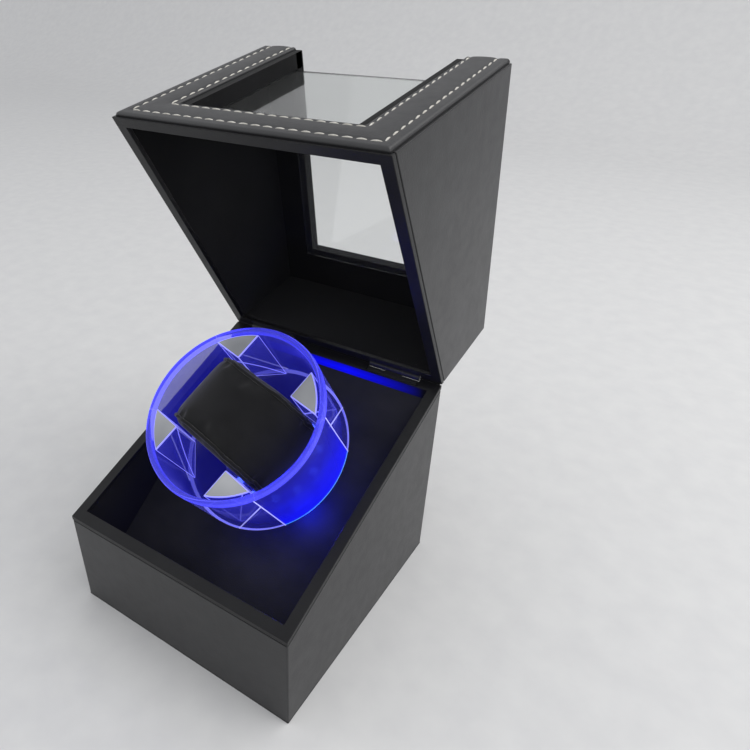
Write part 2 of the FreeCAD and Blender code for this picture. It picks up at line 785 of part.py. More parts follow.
def corner_block(name, along, across):
    """A clear wedge between two channels: shallow along the strap, full depth at its far corner."""
    nose_x, nose_y = D["cross_half"], D["strap_half"]
    radius = D["block_radius"]
    end_x = math.sqrt(radius**2 - nose_y**2)
    end_y = math.sqrt(radius**2 - nose_x**2)
    body = new_body("block", DRUM)
    sketch = sketch_on(body, "XY", "-drum_depth + drum_floor")
    nose = Vector(along * nose_x, across * nose_y, 0)
    one_end = Vector(along * end_x, across * nose_y, 0)
    other_end = Vector(along * nose_x, across * end_y, 0)
    diagonal = Vector(along, across, 0).normalize() * radius
    shapes = (
        Part.LineSegment(nose, one_end),
        Part.Arc(one_end, diagonal, other_end),
        Part.LineSegment(other_end, nose),
    )
    ids = [sketch.addGeometry(shape, False) for shape in shapes]
    for index in ids:
        sketch.addConstraint(Sketcher.Constraint("Block", index))
    feature = body.newObject("PartDesign::Pad", "Pad")
    feature.Profile = sketch
    feature.setExpression("Length", bind(f"drum_depth - drum_floor - {BLOCK_SETBACK}"))
    doc.recompute()

    # the sloping underside falls from the strap side to full depth at the cross channel's wall
    slope_frame = Placement(Vector(0, 0, 0), Rotation(Vector(0, 0, 1), 90 * across))
    slope = (D["drum_depth"] - D["drum_floor"] - BLOCK_SHALLOW) / (end_y - nose_y)
    near, deep = nose_y - 8, -D["drum_depth"] + D["drum_floor"] - 1
    far = nose_y - (deep + BLOCK_SHALLOW) / slope
    wedge = Part.makePolygon(
        [
            Vector(near, -60, deep),
            Vector(far, -60, deep),
            Vector(near, -60, -BLOCK_SHALLOW + 8 * slope),
            Vector(near, -60, deep),
        ]
    )
    tool = doc.addObject("Part::Feature", name + "_underside")
    tool.Shape = Part.Face(wedge).extrude(Vector(0, 120, 0))
    tool.Placement = DRUM * slope_frame
    cut = doc.addObject("Part::Cut", name)
    cut.Base = body
    cut.Tool = tool
    doc.recompute()
    keep(cut, name)


def make_cushion():
    """Firm oval foam core in a padded cover: the strap closes round it."""
    bottom = D["drum_floor"] - D["drum_depth"] + 1.6
    half, top = D["cushion_half_length"], bottom + D["cushion_height"]
    layers = {
        "cushion_core": 3.0,
        "cushion_cover": 0.0,
    }
    shapes = {}
    for name, inset in layers.items():
        width = D["cushion_half_width"] - inset
        low, high = bottom + inset, top - inset
        reach = half - inset
        radius = (high - low) / 2
        middle = (high + low) / 2
        body = new_body("cushion_form", DRUM)
        sketch = sketch_on(body, "XZ", f"-{width}")
        flat = reach - radius
        left_low, left_high = Vector(-flat, low, 0), Vector(-flat, high, 0)
        right_low, right_high = Vector(flat, low, 0), Vector(flat, high, 0)
        outline = (
            Part.LineSegment(left_low, right_low),
            Part.Arc(right_low, Vector(reach, middle, 0), right_high),
            Part.LineSegment(right_high, left_high),
            Part.Arc(left_high, Vector(-reach, middle, 0), left_low),
        )
        for shape in outline:
            sketch.addConstraint(Sketcher.Constraint("Block", sketch.addGeometry(shape, False)))
        feature = body.newObject("PartDesign::Pad", "Pad")
        feature.Profile = sketch
        feature.Length = 2 * width
        doc.recompute()
        shapes[name] = body
    keep(shapes["cushion_core"], "cushion_core")
    cover = doc.addObject("Part::Cut", "cushion_cover")
    cover.Base = shapes["cushion_cover"]
    cover.Tool = shapes["cushion_core"]
    doc.recompute()
    keep(cover, "cushion_cover")


# ---------------------------------------------------------------- lid, drawn closed
LID_FRONT = "box_depth / 2 - lid_front_inset"
LID_TOP = "closed_height"
LID_FRONT_BOARD = "box_depth / 2 - lid_front_inset - leather"
LID_FRONT_VELVET = "box_depth / 2 - leather - board - 0.4"
LID_TOP_BOARD = "closed_height - leather"
LID_TOP_VELVET = "closed_height - leather - board"
LID_IN_FRONT = "box_depth / 2 - leather - board - velvet"
LID_IN_TOP = "closed_height - leather - board - velvet"
LID_RISE = "seam_gap"
LID_BOARD_RISE = "seam_gap + rim_trim"


def window_cuts(body, half, front, top):
    """Open the window through the front wall and on over the top."""
    if front:
        loop = box_loop(f"-({half})", half, "window_sill", "200")
        pocket(body, "XZ", "-(box_depth)", "-(box_depth / 2 - 9)", [loop])
    if top:
        loop = box_loop(f"-({half})", half, "-(box_depth)", "window_rear")
        pocket(body, "XY", "closed_height - 12", "closed_height + 12", [loop])


def lid_shell(name, side, front, rear, top, thickness, rise):
    """Front, sides, rear and top of the lid as one thin skin."""
    body = new_body(name, LID)
    pad(body, "XY", "front_height - 6", top, [box_loop(f"-({side})", side, f"-({front})", rear)])
    inner = box_loop(
        f"-({side}) + {thickness}", f"{side} - {thickness}",
        f"-({front}) + {thickness}", f"{rear} - {thickness}",
    )
    pocket(body, "XY", "front_height - 10", f"({top}) - {thickness}", [inner])
    trim_to_cut_plane(body, rise, remove_above=False)
    return body


def make_lid():
    wrap = lid_shell(
        "lid_leather_wrap", SIDE_OUT, LID_FRONT, REAR_OUT, LID_TOP, "leather",
        "seam_gap + rim_trim + rim_groove",
    )
    window_cuts(wrap, "window_half", True, True)
    keep(wrap, "lid_leather_wrap")

    lining = lid_shell(
        "lid_velvet_lining", SIDE_VELVET, "box_depth / 2 - leather - board", REAR_VELVET, LID_TOP_VELVET,
        "velvet", LID_BOARD_RISE,
    )
    window_cuts(lining, "window_half", True, True)
    keep(lining, "lid_velvet_lining")

    def panel_loop(y_low, y_high, top):
        return [
            (y_low, cut_z(y_low, LID_BOARD_RISE)), (y_high, cut_z(y_high, LID_BOARD_RISE)),
            (y_high, top), (y_low, top),
        ]

    half = SIDE_BOARD
    front_loop = panel_loop(f"-({LID_FRONT_BOARD})", f"-({REAR_VELVET})", LID_TOP_VELVET)
    front = slab("lid_front_panel", "YZ", f"-({half})", half, [front_loop], LID)
    window_cuts(front, "window_half", True, False)
    rear_loop = panel_loop(REAR_VELVET, REAR_BOARD, LID_TOP_VELVET)
    slab("lid_rear_panel", "YZ", f"-({half})", half, [rear_loop], LID)
    side_loop = panel_loop(f"-({REAR_VELVET})", REAR_VELVET, LID_TOP_VELVET)
    slab("lid_left_panel", "YZ", f"-({SIDE_BOARD})", f"-({SIDE_VELVET})", [side_loop], LID)
    slab("lid_right_panel", "YZ", SIDE_VELVET, SIDE_BOARD, [side_loop], LID)
    top_outline = box_loop(f"-({SIDE_BOARD})", SIDE_BOARD, f"-({LID_FRONT_BOARD})", REAR_BOARD)
    top = slab("lid_top_panel", "XY", LID_TOP_VELVET, LID_TOP_BOARD, [top_outline], LID)
    window_cuts(top, "window_half", False, True)

    trim = new_body("lid_rim_trim", LID)
    outer = box_loop(f"-({SIDE_OUT})", SIDE_OUT, f"-({LID_FRONT})", REAR_OUT)
    inner = box_loop(f"-({SIDE_IN})", SIDE_IN, f"-({REAR_IN})", REAR_IN)
    pad(trim, "XY", "front_height - 5", "rear_height + 8", [outer, inner])
    trim_to_cut_plane(trim, LID_RISE, remove_above=False)
    trim_to_cut_plane(trim, LID_BOARD_RISE, remove_above=True)
    hinge_recess(trim)
    keep(trim, "lid_rim_trim")

    outer_half = "box_width / 2 - frame_side_inset"
    sill = "window_sill"
    corner = "closed_height"
    u_front = [
        (f"-({outer_half})", "front_height + 1.6"), (outer_half, "front_height + 1.6"),
        (outer_half, corner), ("frame_inner_half", corner), ("frame_inner_half", sill),
        ("-frame_inner_half", sill), ("-frame_inner_half", corner), (f"-({outer_half})", corner),
    ]
    plate = slab("front_padded_frame", "XZ", f"-({LID_FRONT}) - frame_pad", f"-({LID_FRONT})", [u_front], LID)
    round_edges(plate, 0.5, on_outer_front)
    rear_edge = "box_depth / 2 - frame_side_inset"
    front_edge = f"-({LID_FRONT}) - frame_pad"
    u_top = [
        (f"-({outer_half})", front_edge), ("-frame_inner_half", front_edge),
        ("-frame_inner_half", "window_rear + 3"), ("frame_inner_half", "window_rear + 3"),
        ("frame_inner_half", front_edge), (outer_half, front_edge), (outer_half, rear_edge),
        (f"-({outer_half})", rear_edge),
    ]
    plate = slab("top_padded_frame", "XY", LID_TOP, f"{LID_TOP} + frame_pad", [u_top], LID)
    round_edges(plate, 0.5, on_outer_top)

    pane_front = f"({LID_IN_FRONT}) - pane_frame"
    frame_out = "window_half + pane_lap + 3"
    u_frame = [
        (f"-({frame_out})", "window_sill - pane_lap - 3"), (frame_out, "window_sill - pane_lap - 3"),
        (frame_out, f"{LID_IN_TOP} - pane"), ("window_half", f"{LID_IN_TOP} - pane"), ("window_half", sill),
        ("-window_half", sill), ("-window_half", f"{LID_IN_TOP} - pane"),
        (f"-({frame_out})", f"{LID_IN_TOP} - pane"),
    ]
    slab("front_pane_frame", "XZ", f"-({LID_IN_FRONT})", f"-({pane_front})", [u_frame], LID)
    lap = "window_half + pane_lap"
    slab(
        "front_pane", "XZ", f"-({pane_front})", f"-({pane_front}) + pane",
        [box_loop(f"-({lap})", lap, "window_sill - pane_lap", f"{LID_IN_TOP} - pane")], LID,
    )
    slab(
        "top_pane", "XY", f"{LID_IN_TOP} - pane", LID_IN_TOP,
        [box_loop(f"-({lap})", lap, f"-({pane_front})", "window_rear + pane_lap")], LID,
    )


def on_outer_front(edge):
    limit = -D["box_depth"] / 2 + D["lid_front_inset"] - D["frame_pad"]
    return all(abs(v.Y - limit) < 0.01 for v in edge.Vertexes)


def on_outer_top(edge):
    limit = D["closed_height"] + D["frame_pad"]
    return all(abs(v.Z - limit) < 0.01 for v in edge.Vertexes)


# ---------------------------------------------------------------- hinges, in the HINGE frame
LEAF_GAP = 0.15
LEAF_SCREWS = (-9.0, 0.0, 9.0)
LEAF_SCREW_LINE = 2.9
MIDDLE_KNUCKLE_HALF = 4.0


def hinge_leaf(side, of_lid):
    """One leaf in the wall edge with its knuckles round the pin; u runs to the rear."""
    frame = at(HINGE, side * D["hinge_place"], 0, 0)
    if of_lid:
        frame = LID * frame
    up = 1 if of_lid else -1
    low, high = sorted((up * LEAF_GAP, up * (LEAF_GAP + D["leaf"])))
    half, third = D["hinge_width"] / 2, MIDDLE_KNUCKLE_HALF
    body = new_body("leaf", frame)
    leaf = box_loop(f"-{half}", f"{half}", f"-{LEAF_REACH}", "-1.7")
    holes = [(f"{x}", f"-{LEAF_SCREW_LINE}", "0.5") for x in LEAF_SCREWS]
    pad(body, "XY", f"{low}", f"{high}", [leaf] + holes)
    spans = [(-half, -third - 0.1), (third + 0.1, half)] if of_lid else [(-third, third)]
    bore = D["pin_radius"] + (0.05 if of_lid else 0)
    for start, end in spans:
        pad(body, "XY", f"{low}", f"{high}", [box_loop(f"{start}", f"{end}", "-1.75", "-1.0")])
        pad(body, "YZ", f"{start}", f"{end}", [("0", "0", "knuckle_radius"), ("0", "0", f"{bore}")])
    return body


def make_hinges():
    group("hinge_base_leaves", [hinge_leaf(side, False) for side in (-1, 1)])
    group("hinge_lid_leaves", [hinge_leaf(side, True) for side in (-1, 1)])
    pins = []
    for side in (-1, 1):
        frame = at(HINGE, side * D["hinge_place"], 0, 0, Rotation(Vector(0, 1, 0), 90))
        half = f"{D['hinge_width'] / 2}"
        profile = [("0", f"-{half}"), ("pin_radius", f"-{half}"), ("pin_radius", half), ("0", half)]
        pins.append(turned_body("pin", profile, frame))
    group("hinge_pins", pins)
    for name, lid in (("hinge_base_screws", False), ("hinge_lid_screws", True)):
        screws = []
        for side in (-1, 1):
            for x in LEAF_SCREWS:
                level = (LEAF_GAP + D["leaf"]) * (1 if lid else -1)
                turn = Rotation(Vector(1, 0, 0), 180) if lid else Rotation()
                frame = at(HINGE, side * D["hinge_place"] + x, -LEAF_SCREW_LINE, level, turn)
                if lid:
                    frame = LID * frame
                screws.append(leaf_screw(frame))
        group(name, screws)


def leaf_screw(frame):
    """A tiny flat head screw that ends flush with the leaf."""
    profile = [("0", "-3"), ("0.5", "-3"), ("0.5", "leaf"), ("0", "leaf")]
    return turned_body("leaf_screw", profile, frame)


# ---------------------------------------------------------------- build and write
make_base()
make_platform()
make_drive()
make_electrics()
make_controls()
make_drum()
make_cushion()
make_lid()
make_hinges()
doc.recompute()

for obj in doc.Objects:
    if "Invalid" in obj.State or "Error" in obj.State:
        raise RuntimeError(f"{obj.Label} did not build: {obj.State}")

os.makedirs("parts", exist_ok=True)
for obj in PARTS:
    shape = obj.Shape
    if shape.isNull() or not shape.isValid() or not shape.Solids:
        raise RuntimeError(f"{obj.Label} has no valid solid")
    shape.exportStep(f"parts/{obj.Label}.step")
    box = shape.BoundBox
    print(
        f"{obj.Label:22s} {len(shape.Solids):2d} solids {shape.Volume:10.1f} mm3  "
        f"x {box.XMin:.1f}..{box.XMax:.1f} y {box.YMin:.1f}..{box.YMax:.1f} "
        f"z {box.ZMin:.1f}..{box.ZMax:.1f}"
    )
print(len(PARTS), "sub-parts written")
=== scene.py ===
"""Looks of the watch winder box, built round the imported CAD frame.

Everything is in metres in the CAD's own frame.  Lengths that are easier to read in
millimetres are written as a number times MM.
"""

import json
import math

import bmesh
import bpy
import numpy as np
from mathutils import Matrix, Vector
from mathutils.bvhtree import BVHTree


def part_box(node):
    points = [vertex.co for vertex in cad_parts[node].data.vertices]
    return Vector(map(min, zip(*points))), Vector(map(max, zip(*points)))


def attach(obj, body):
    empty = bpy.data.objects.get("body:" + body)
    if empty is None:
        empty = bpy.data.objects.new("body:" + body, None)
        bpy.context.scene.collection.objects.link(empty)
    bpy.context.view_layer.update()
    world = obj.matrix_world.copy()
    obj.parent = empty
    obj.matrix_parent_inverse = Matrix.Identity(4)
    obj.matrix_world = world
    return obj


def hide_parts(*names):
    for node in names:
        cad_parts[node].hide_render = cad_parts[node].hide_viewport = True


MM = 0.001
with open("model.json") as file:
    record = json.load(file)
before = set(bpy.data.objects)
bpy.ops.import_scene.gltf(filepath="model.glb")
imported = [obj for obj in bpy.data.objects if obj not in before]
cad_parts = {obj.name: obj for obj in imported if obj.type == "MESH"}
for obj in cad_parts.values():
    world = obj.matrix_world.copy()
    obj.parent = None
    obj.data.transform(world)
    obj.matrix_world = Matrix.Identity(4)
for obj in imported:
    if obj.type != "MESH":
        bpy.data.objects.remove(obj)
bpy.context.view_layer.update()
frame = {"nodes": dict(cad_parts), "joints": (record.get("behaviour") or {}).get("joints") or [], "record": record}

# ---------------------------------------------------------------- places read from the frame
JOINTS = {joint["name"]: joint for joint in frame["joints"]}
BODY_OF = {node: body for body, nodes in frame["record"]["behaviour"]["bodies"].items() for node in nodes}
PIVOT = Vector(JOINTS["lid_hinge"]["pos_m"])
LID_OPEN = math.radians(-JOINTS["lid_hinge"]["range_deg"][0])
LID = Matrix.Translation(PIVOT) @ Matrix.Rotation(-LID_OPEN, 4, "X") @ Matrix.Translation(-PIVOT)

DRUM_CLOCK = math.radians(-14.4)
DRUM_AXIS = Vector(JOINTS["drum_spin"]["axis"])
DRUM_TILT = math.atan2(-DRUM_AXIS.y, DRUM_AXIS.z)
DRUM_SQUARE = Matrix.Translation(Vector(JOINTS["drum_spin"]["pos_m"])) @ Matrix.Rotation(DRUM_TILT, 4, "X")
DRUM = DRUM_SQUARE @ Matrix.Rotation(DRUM_CLOCK, 4, "Z")

HALF_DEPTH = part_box("base_leather_wrap")[1].y
PLATFORM_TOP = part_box("platform_velvet")[1].z

# ---------------------------------------------------------------- sizes
CLOSED_TOP = 137.7 * MM                       # the lid's top face when it is shut
CUT_FRONT, CUT_REAR = 47.0 * MM, 91.4 * MM    # heights of the cut between base and lid
CUT_SLOPE = (CUT_REAR - CUT_FRONT) / (2 * HALF_DEPTH)
LID_FRONT = -HALF_DEPTH + 0.7 * MM            # the face that carries the front pad
WINDOW_SILL = 64.0 * MM                       # lower edge of the front window

# The drum's own frame has its rim at height 0, X along the strap and Y across it.
DRUM_RADIUS, DRUM_REAR_RADIUS = 37.3 * MM, 36.6 * MM
DRUM_DEPTH, DRUM_WALL, DRUM_FLOOR = 37.0 * MM, 2.4 * MM, 2.0 * MM
LIP_HEIGHT = 2.6 * MM                         # how far the polished lip reaches down the wall
STRAP_HALF, CROSS_HALF = 18.0 * MM, 15.1 * MM
BLOCK_RADIUS = 34.0 * MM
BLOCK_SETBACK = 0.8 * MM                      # wedge tops below the rim
BLOCK_SHALLOW = 17.0 * MM                     # a wedge's depth beside the strap
TURNS = 144                                   # facets round the drum
JOINT_HIGHLIGHT_RADIUS = 0.26 * MM
JOINT_HIGHLIGHT_HEIGHTS = (-2.6, -14.0, -25.0, -36.2)    # mm; points of a painted highlight line down the wall
JOINT_HIGHLIGHT_SLOPE = ((31.4, 18.9, -10.0), (16.8, 32.5, -34.9))    # mm; ends of the line along a wedge's underside

CUSHION_BOTTOM = -DRUM_DEPTH + DRUM_FLOOR + 1.6 * MM
CUSHION_HEIGHT = 39.4 * MM
CUSHION_HALF_LENGTH = 27.5 * MM
CUSHION_HALF_WIDTH = 17.0 * MM

rng = np.random.default_rng(7)


# ---------------------------------------------------------------- objects
def add_object(name, mesh, body, replaced=()):
    """Link a mesh as a piece that rides on a CAD body."""
    piece = bpy.data.objects.new(name, mesh)
    bpy.context.scene.collection.objects.link(piece)
    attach(piece, body)
    if replaced:
        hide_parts(*replaced)
    return piece


def mesh_from(name, vertices, faces, matrix=None):
    """A smooth shaded mesh, moved by the matrix if there is one."""
    mesh = bpy.data.meshes.new(name)
    mesh.from_pydata([tuple(v) for v in vertices], [], [tuple(f) for f in faces])
    if matrix is not None:
        mesh.transform(matrix)
    mesh.validate()
    mesh.polygons.foreach_set("use_smooth", [True] * len(mesh.polygons))
    return mesh


def clean_copy(node):
    """The node's solid as a mesh with its flat faces whole again."""
    mesh = frame["nodes"][node].data.copy()
    bm = bmesh.new()
    bm.from_mesh(mesh)
    bmesh.ops.remove_doubles(bm, verts=bm.verts, dist=0.002 * MM)
    bmesh.ops.dissolve_limit(bm, angle_limit=math.radians(1), verts=bm.verts, edges=bm.edges)
    bm.to_mesh(mesh)
    bm.free()
    mesh.polygons.foreach_set("use_smooth", [True] * len(mesh.polygons))
    return mesh


def face_outward(mesh):
    """Turn every face of a closed mesh outward."""
    bm = bmesh.new()
    bm.from_mesh(mesh)
    bmesh.ops.recalc_face_normals(bm, faces=bm.faces)
    bm.to_mesh(mesh)
    bm.free()


def softened(node, material, width, segments=3):
    """The node's own shape with rounded edges, in its place."""
    piece = add_object(node + "_soft", clean_copy(node), BODY_OF[node], (node,))
    piece.data.materials.clear()
    piece.data.materials.append(material)
    bevel = piece.modifiers.new("edges", "BEVEL")
    bevel.width = width
    bevel.segments = segments
    bevel.limit_method = "ANGLE"
    bevel.angle_limit = math.radians(35)
    normals = piece.modifiers.new("normals", "WEIGHTED_NORMAL")
    normals.weight = 100
    normals.keep_sharp = True
    return piece


def apply_modifiers(piece):
    """Bake the piece's modifiers into its mesh."""
    graph = bpy.context.evaluated_depsgraph_get()
    mesh = bpy.data.meshes.new_from_object(piece.evaluated_get(graph))
    piece.modifiers.clear()
    piece.data = mesh


# ---------------------------------------------------------------- materials
class Shader:
    """A new node material with a few shortcuts for building it."""

    def __init__(self, name):
        self.material = bpy.data.materials.new(name)
        self.material.use_nodes = True
        self.tree = self.material.node_tree
        self.bsdf = self.tree.nodes["Principled BSDF"]
        self.coords = self.add("ShaderNodeTexCoord").outputs["Object"]

    def add(self, kind, **settings):
        node = self.tree.nodes.new(kind)
        for key, value in settings.items():
            setattr(node, key, value)
        return node

    def link(self, source, target):
        self.tree.links.new(source, target)

    def set(self, **values):
        for key, value in values.items():
            self.bsdf.inputs[key.replace("_", " ")].default_value = value

    def noise(self, scale, detail=3.0, roughness=0.5, stretch=None):
        node = self.add("ShaderNodeTexNoise")
        node.inputs["Scale"].default_value = scale
        node.inputs["Detail"].default_value = detail
        node.inputs["Roughness"].default_value = roughness
        self.link(self.stretched(stretch), node.inputs["Vector"])
        return node.outputs["Fac"]

    def cells(self, scale):
        node = self.add("ShaderNodeTexVoronoi")
        node.inputs["Scale"].default_value = scale
        self.link(self.coords, node.inputs["Vector"])
        return node.outputs["Distance"]

    def stretched(self, stretch):
        if stretch is None:
            return self.coords
        mapping = self.add("ShaderNodeMapping")
        mapping.inputs["Scale"].default_value = stretch
        self.link(self.coords, mapping.inputs["Vector"])
        return mapping.outputs["Vector"]

    def ramp(self, value, stops):
        node = self.add("ShaderNodeValToRGB")
        elements = node.color_ramp.elements
        while len(elements) < len(stops):
            elements.new(0.5)
        for element, (place, color) in zip(elements, stops):
            element.position = place
            element.color = (*color, 1.0) if isinstance(color, tuple) else (color, color, color, 1.0)
        self.link(value, node.inputs["Fac"])
        return node.outputs["Color"]

    def vary(self, socket, value, stops):
        """Drive one of the shader's sockets by a ramp over a value."""
        self.link(self.ramp(value, stops), self.bsdf.inputs[socket])

    def math(self, operation, first, second):
        node = self.add("ShaderNodeMath", operation=operation)
        for socket, value in zip(node.inputs, (first, second)):
            if isinstance(value, (int, float)):
                socket.default_value = value
            else:
                self.link(value, socket)
        return node.outputs["Value"]

    def bump(self, height, distance, strength=1.0):
        node = self.add("ShaderNodeBump")
        node.inputs["Distance"].default_value = distance
        node.inputs["Strength"].default_value = strength
        self.link(height, node.inputs["Height"])
        self.link(node.outputs["Normal"], self.bsdf.inputs["Normal"])


def leather(name, dark, light, grain=0.62 * MM, roughness=(0.31, 0.37), specular=0.5):
    """Pebbled faux leather: small raised cells, a soft mottling and a satin coat."""
    s = Shader(name)
    mottling = s.noise(38, 5, 0.6)
    s.vary("Base Color", mottling, [(0.25, dark), (0.75, light)])
    pebbles = s.cells(1 / grain)
    creases = s.noise(420, 5, 0.6)
    height = s.math("ADD", s.math("MULTIPLY", pebbles, -0.9), s.math("MULTIPLY", creases, 0.8))
    s.bump(height, 0.055 * MM, 0.55)
    s.vary("Roughness", s.noise(210, 3), [(0.3, roughness[0]), (0.7, roughness[1])])
    s.set(Specular_IOR_Level=specular)
    return s.material


def velvet(name, dark, light, sheen=0.35):
    """Short pile: matte, with a faint sheen and brushed patches."""
    s = Shader(name)
    patches = s.noise(30, 3, 0.55, (1.0, 1.6, 1.0))
    s.vary("Base Color", patches, [(0.35, dark), (0.68, light)])
    s.bump(s.noise(2600, 2, 0.7), 0.12 * MM, 0.7)
    s.set(Roughness=0.92, Specular_IOR_Level=0.18, Sheen_Weight=sheen, Sheen_Roughness=0.45)
    return s.material


def plain(name, dark, light, roughness, metallic=0.0, grain=900.0, bump=0.02 * MM, stretch=None):
    """A moulded, printed or brushed surface with fine texture."""
    s = Shader(name)
    s.vary("Base Color", s.noise(70, 3, 0.5, stretch), [(0.3, dark), (0.7, light)])
    texture = s.noise(grain, 3, 0.6, stretch)
    s.bump(texture, bump, 0.5)
    s.vary("Roughness", texture, [(0.3, roughness * 0.85), (0.7, min(1.0, roughness * 1.15))])
    s.set(Metallic=metallic)
    return s.material


def wood_board(name):
    """Black dyed fibreboard: fine speckled fibres."""
    s = Shader(name)
    speckle = s.noise(1500, 4, 0.7)
    s.vary("Base Color", speckle, [(0.3, (0.010, 0.0095, 0.009)), (0.7, (0.024, 0.022, 0.020))])
    s.bump(speckle, 0.05 * MM, 0.6)
    s.set(Roughness=0.85)
    return s.material


def clear(name, tint, transmission=1.0):
    """Clear acrylic with faint smears in its polish."""
    s = Shader(name)
    s.vary("Roughness", s.noise(60, 3), [(0.3, 0.03), (0.8, 0.07)])
    s.set(Base_Color=(*tint, 1.0), IOR=1.49, Transmission_Weight=transmission)
    return s.material


def drum_place(s):
    """Height along the drum's axis and distance from it, from the object coordinates."""
    to_drum = s.add("ShaderNodeMapping", vector_type="TEXTURE")
    to_drum.inputs["Location"].default_value = DRUM.to_translation()
    to_drum.inputs["Rotation"].default_value = DRUM.to_euler()
    s.link(s.coords, to_drum.inputs["Vector"])
    parts = s.add("ShaderNodeSeparateXYZ")
    s.link(to_drum.outputs["Vector"], parts.inputs["Vector"])
    x, y, z = (parts.outputs[axis] for axis in "XYZ")
    radius = s.math("SQRT", s.math("ADD", s.math("MULTIPLY", x, x), s.math("MULTIPLY", y, y)), 0.0)
    return z, radius


def painted_glow_acrylic(name, stops, strength, alpha, roughness=0.22):
    """Acrylic with a painted blue glow standing in for the light that fills it; stops run from the rim down to the
    drum's rear edge.
    """
    s = Shader(name)
    height, _ = drum_place(s)
    depth = s.math("MULTIPLY", height, -1 / DRUM_DEPTH)
    mottled = s.math("ADD", depth, s.math("MULTIPLY", s.math("SUBTRACT", s.noise(90, 2), 0.5), 0.35))
    s.vary("Emission Color", mottled, stops)
    s.set(
        Base_Color=(0.02, 0.02, 0.30, 1.0), Emission_Strength=strength, Alpha=alpha, Roughness=roughness,
        Specular_IOR_Level=0.5,
    )
    return s.material


def rim_band(name):
    """The thick polished lip, with a painted glow that is brightest at its inner and outer corners."""
    s = Shader(name)
    _, radius = drum_place(s)
    across = s.math("DIVIDE", s.math("SUBTRACT", radius, DRUM_RADIUS - DRUM_WALL), DRUM_WALL)
    s.vary("Emission Color", across, [
        (0.0, (0.045, 0.045, 0.85)), (0.22, (0.012, 0.012, 0.42)), (0.70, (0.012, 0.012, 0.42)),
        (1.0, (0.06, 0.06, 0.95)),
    ])
    s.set(
        Base_Color=(0.26, 0.26, 0.92, 1.0), Emission_Strength=0.85, IOR=1.25, Transmission_Weight=0.8,
        Roughness=0.10, Specular_IOR_Level=0.4,
    )
    return s.material


def painted_glow_wedge_wall(name):
    """A thin clear wedge wall, with a painted violet glow for the cast from the lights."""
    s = Shader(name)
    s.vary("Emission Color", s.noise(60, 2), [(0.3, (0.010, 0.010, 0.12)), (0.7, (0.022, 0.022, 0.26))])
    s.set(Base_Color=(0.10, 0.10, 0.55, 1.0), Emission_Strength=0.8, Alpha=0.26, Roughness=0.12)
    return s.material


def glowing(name, color, strength):
    """Emission: a light chip, or a painted glow on an edge or line."""
    s = Shader(name)
    s.vary("Emission Color", s.noise(90, 2), [(0.3, tuple(c * 0.75 for c in color)), (0.7, color)])
    s.set(Base_Color=(0.3, 0.3, 0.9, 1.0), Emission_Strength=strength, Roughness=0.15)
    return s.material


def silver_face(name):
    """The satin silver backing seen through the top of a wedge."""
    s = Shader(name)
    sweep = s.noise(38, 2, 0.4)
    s.vary("Base Color", sweep, [(0.35, (0.24, 0.25, 0.27)), (0.65, (0.44, 0.45, 0.47))])
    s.bump(s.noise(1800, 2), 0.01 * MM, 0.4)
    s.set(Metallic=0.55, Roughness=0.32, Coat_Weight=0.8, Coat_Roughness=0.05)
    return s.material


def thread(name):
    """Thick cream thread with a fine twist."""
    s = Shader(name)
    s.vary("Base Color", s.noise(700, 3), [(0.3, (0.50, 0.48, 0.42)), (0.7, (0.74, 0.72, 0.66))])
    s.bump(s.noise(5200, 2, 0.6, (1.0, 2.5, 1.0)), 0.06 * MM, 0.8)
    s.set(Roughness=0.75, Sheen_Weight=0.3)
    return s.material


MATERIALS = {
    "leather": leather("faux_leather", (0.008, 0.008, 0.009), (0.014, 0.014, 0.016)),
    "leather_trim": leather("faux_leather_edge", (0.007, 0.007, 0.008), (0.012, 0.012, 0.013), specular=0.25),
    "padded_leather": leather(
        "padded_faux_leather", (0.026, 0.026, 0.028), (0.040, 0.040, 0.042), 0.7 * MM, (0.36, 0.42), 0.5
    ),
    "velvet": velvet("black_velvet", (0.0025, 0.0025, 0.003), (0.0055, 0.0055, 0.006), 0.13),
    "felt": velvet("black_felt", (0.012, 0.012, 0.013), (0.024, 0.024, 0.026), 0.2),
    "fibreboard": wood_board("fibreboard"),
    "clear_drum": clear("clear_acrylic", (0.78, 0.80, 1.0)),
    "clear_block": painted_glow_wedge_wall("clear_wedge_painted_glow"),
    "window": clear("window_acrylic", (0.965, 0.98, 0.972), transmission=0.98),
    "cushion_cover": velvet("cushion_velour", (0.006, 0.006, 0.007), (0.013, 0.013, 0.015), 0.25),
    "foam": plain("foam", (0.06, 0.06, 0.065), (0.10, 0.10, 0.11), 0.95, grain=1200, bump=0.2 * MM),
    "black_plastic": plain("black_abs", (0.016, 0.016, 0.018), (0.024, 0.024, 0.026), 0.48, grain=2400),
    "white_plastic": plain("white_acetal", (0.62, 0.62, 0.60), (0.74, 0.74, 0.72), 0.38),
    "black_steel": plain("black_lacquer", (0.010, 0.010, 0.011), (0.018, 0.018, 0.020), 0.40, grain=1500),
    "steel": plain(
        "brushed_steel", (0.50, 0.50, 0.51), (0.66, 0.66, 0.67), 0.34, 1.0, stretch=(12.0, 1.0, 1.0)
    ),
    "zinc_steel": plain("zinc_plate", (0.55, 0.55, 0.58), (0.72, 0.72, 0.75), 0.24, 1.0),
    "brass": plain("brass", (0.58, 0.42, 0.18), (0.74, 0.56, 0.28), 0.30, 1.0),
    "rubber": plain("neoprene", (0.010, 0.010, 0.010), (0.022, 0.022, 0.022), 0.70, grain=1500),
    "circuit_green": plain("solder_mask", (0.008, 0.10, 0.035), (0.014, 0.16, 0.06), 0.32, grain=600),
    "circuit_white": plain("white_solder_mask", (0.62, 0.64, 0.68), (0.78, 0.79, 0.82), 0.36, grain=600),
    "led": glowing("blue_led", (0.05, 0.09, 1.0), 14.0),
}
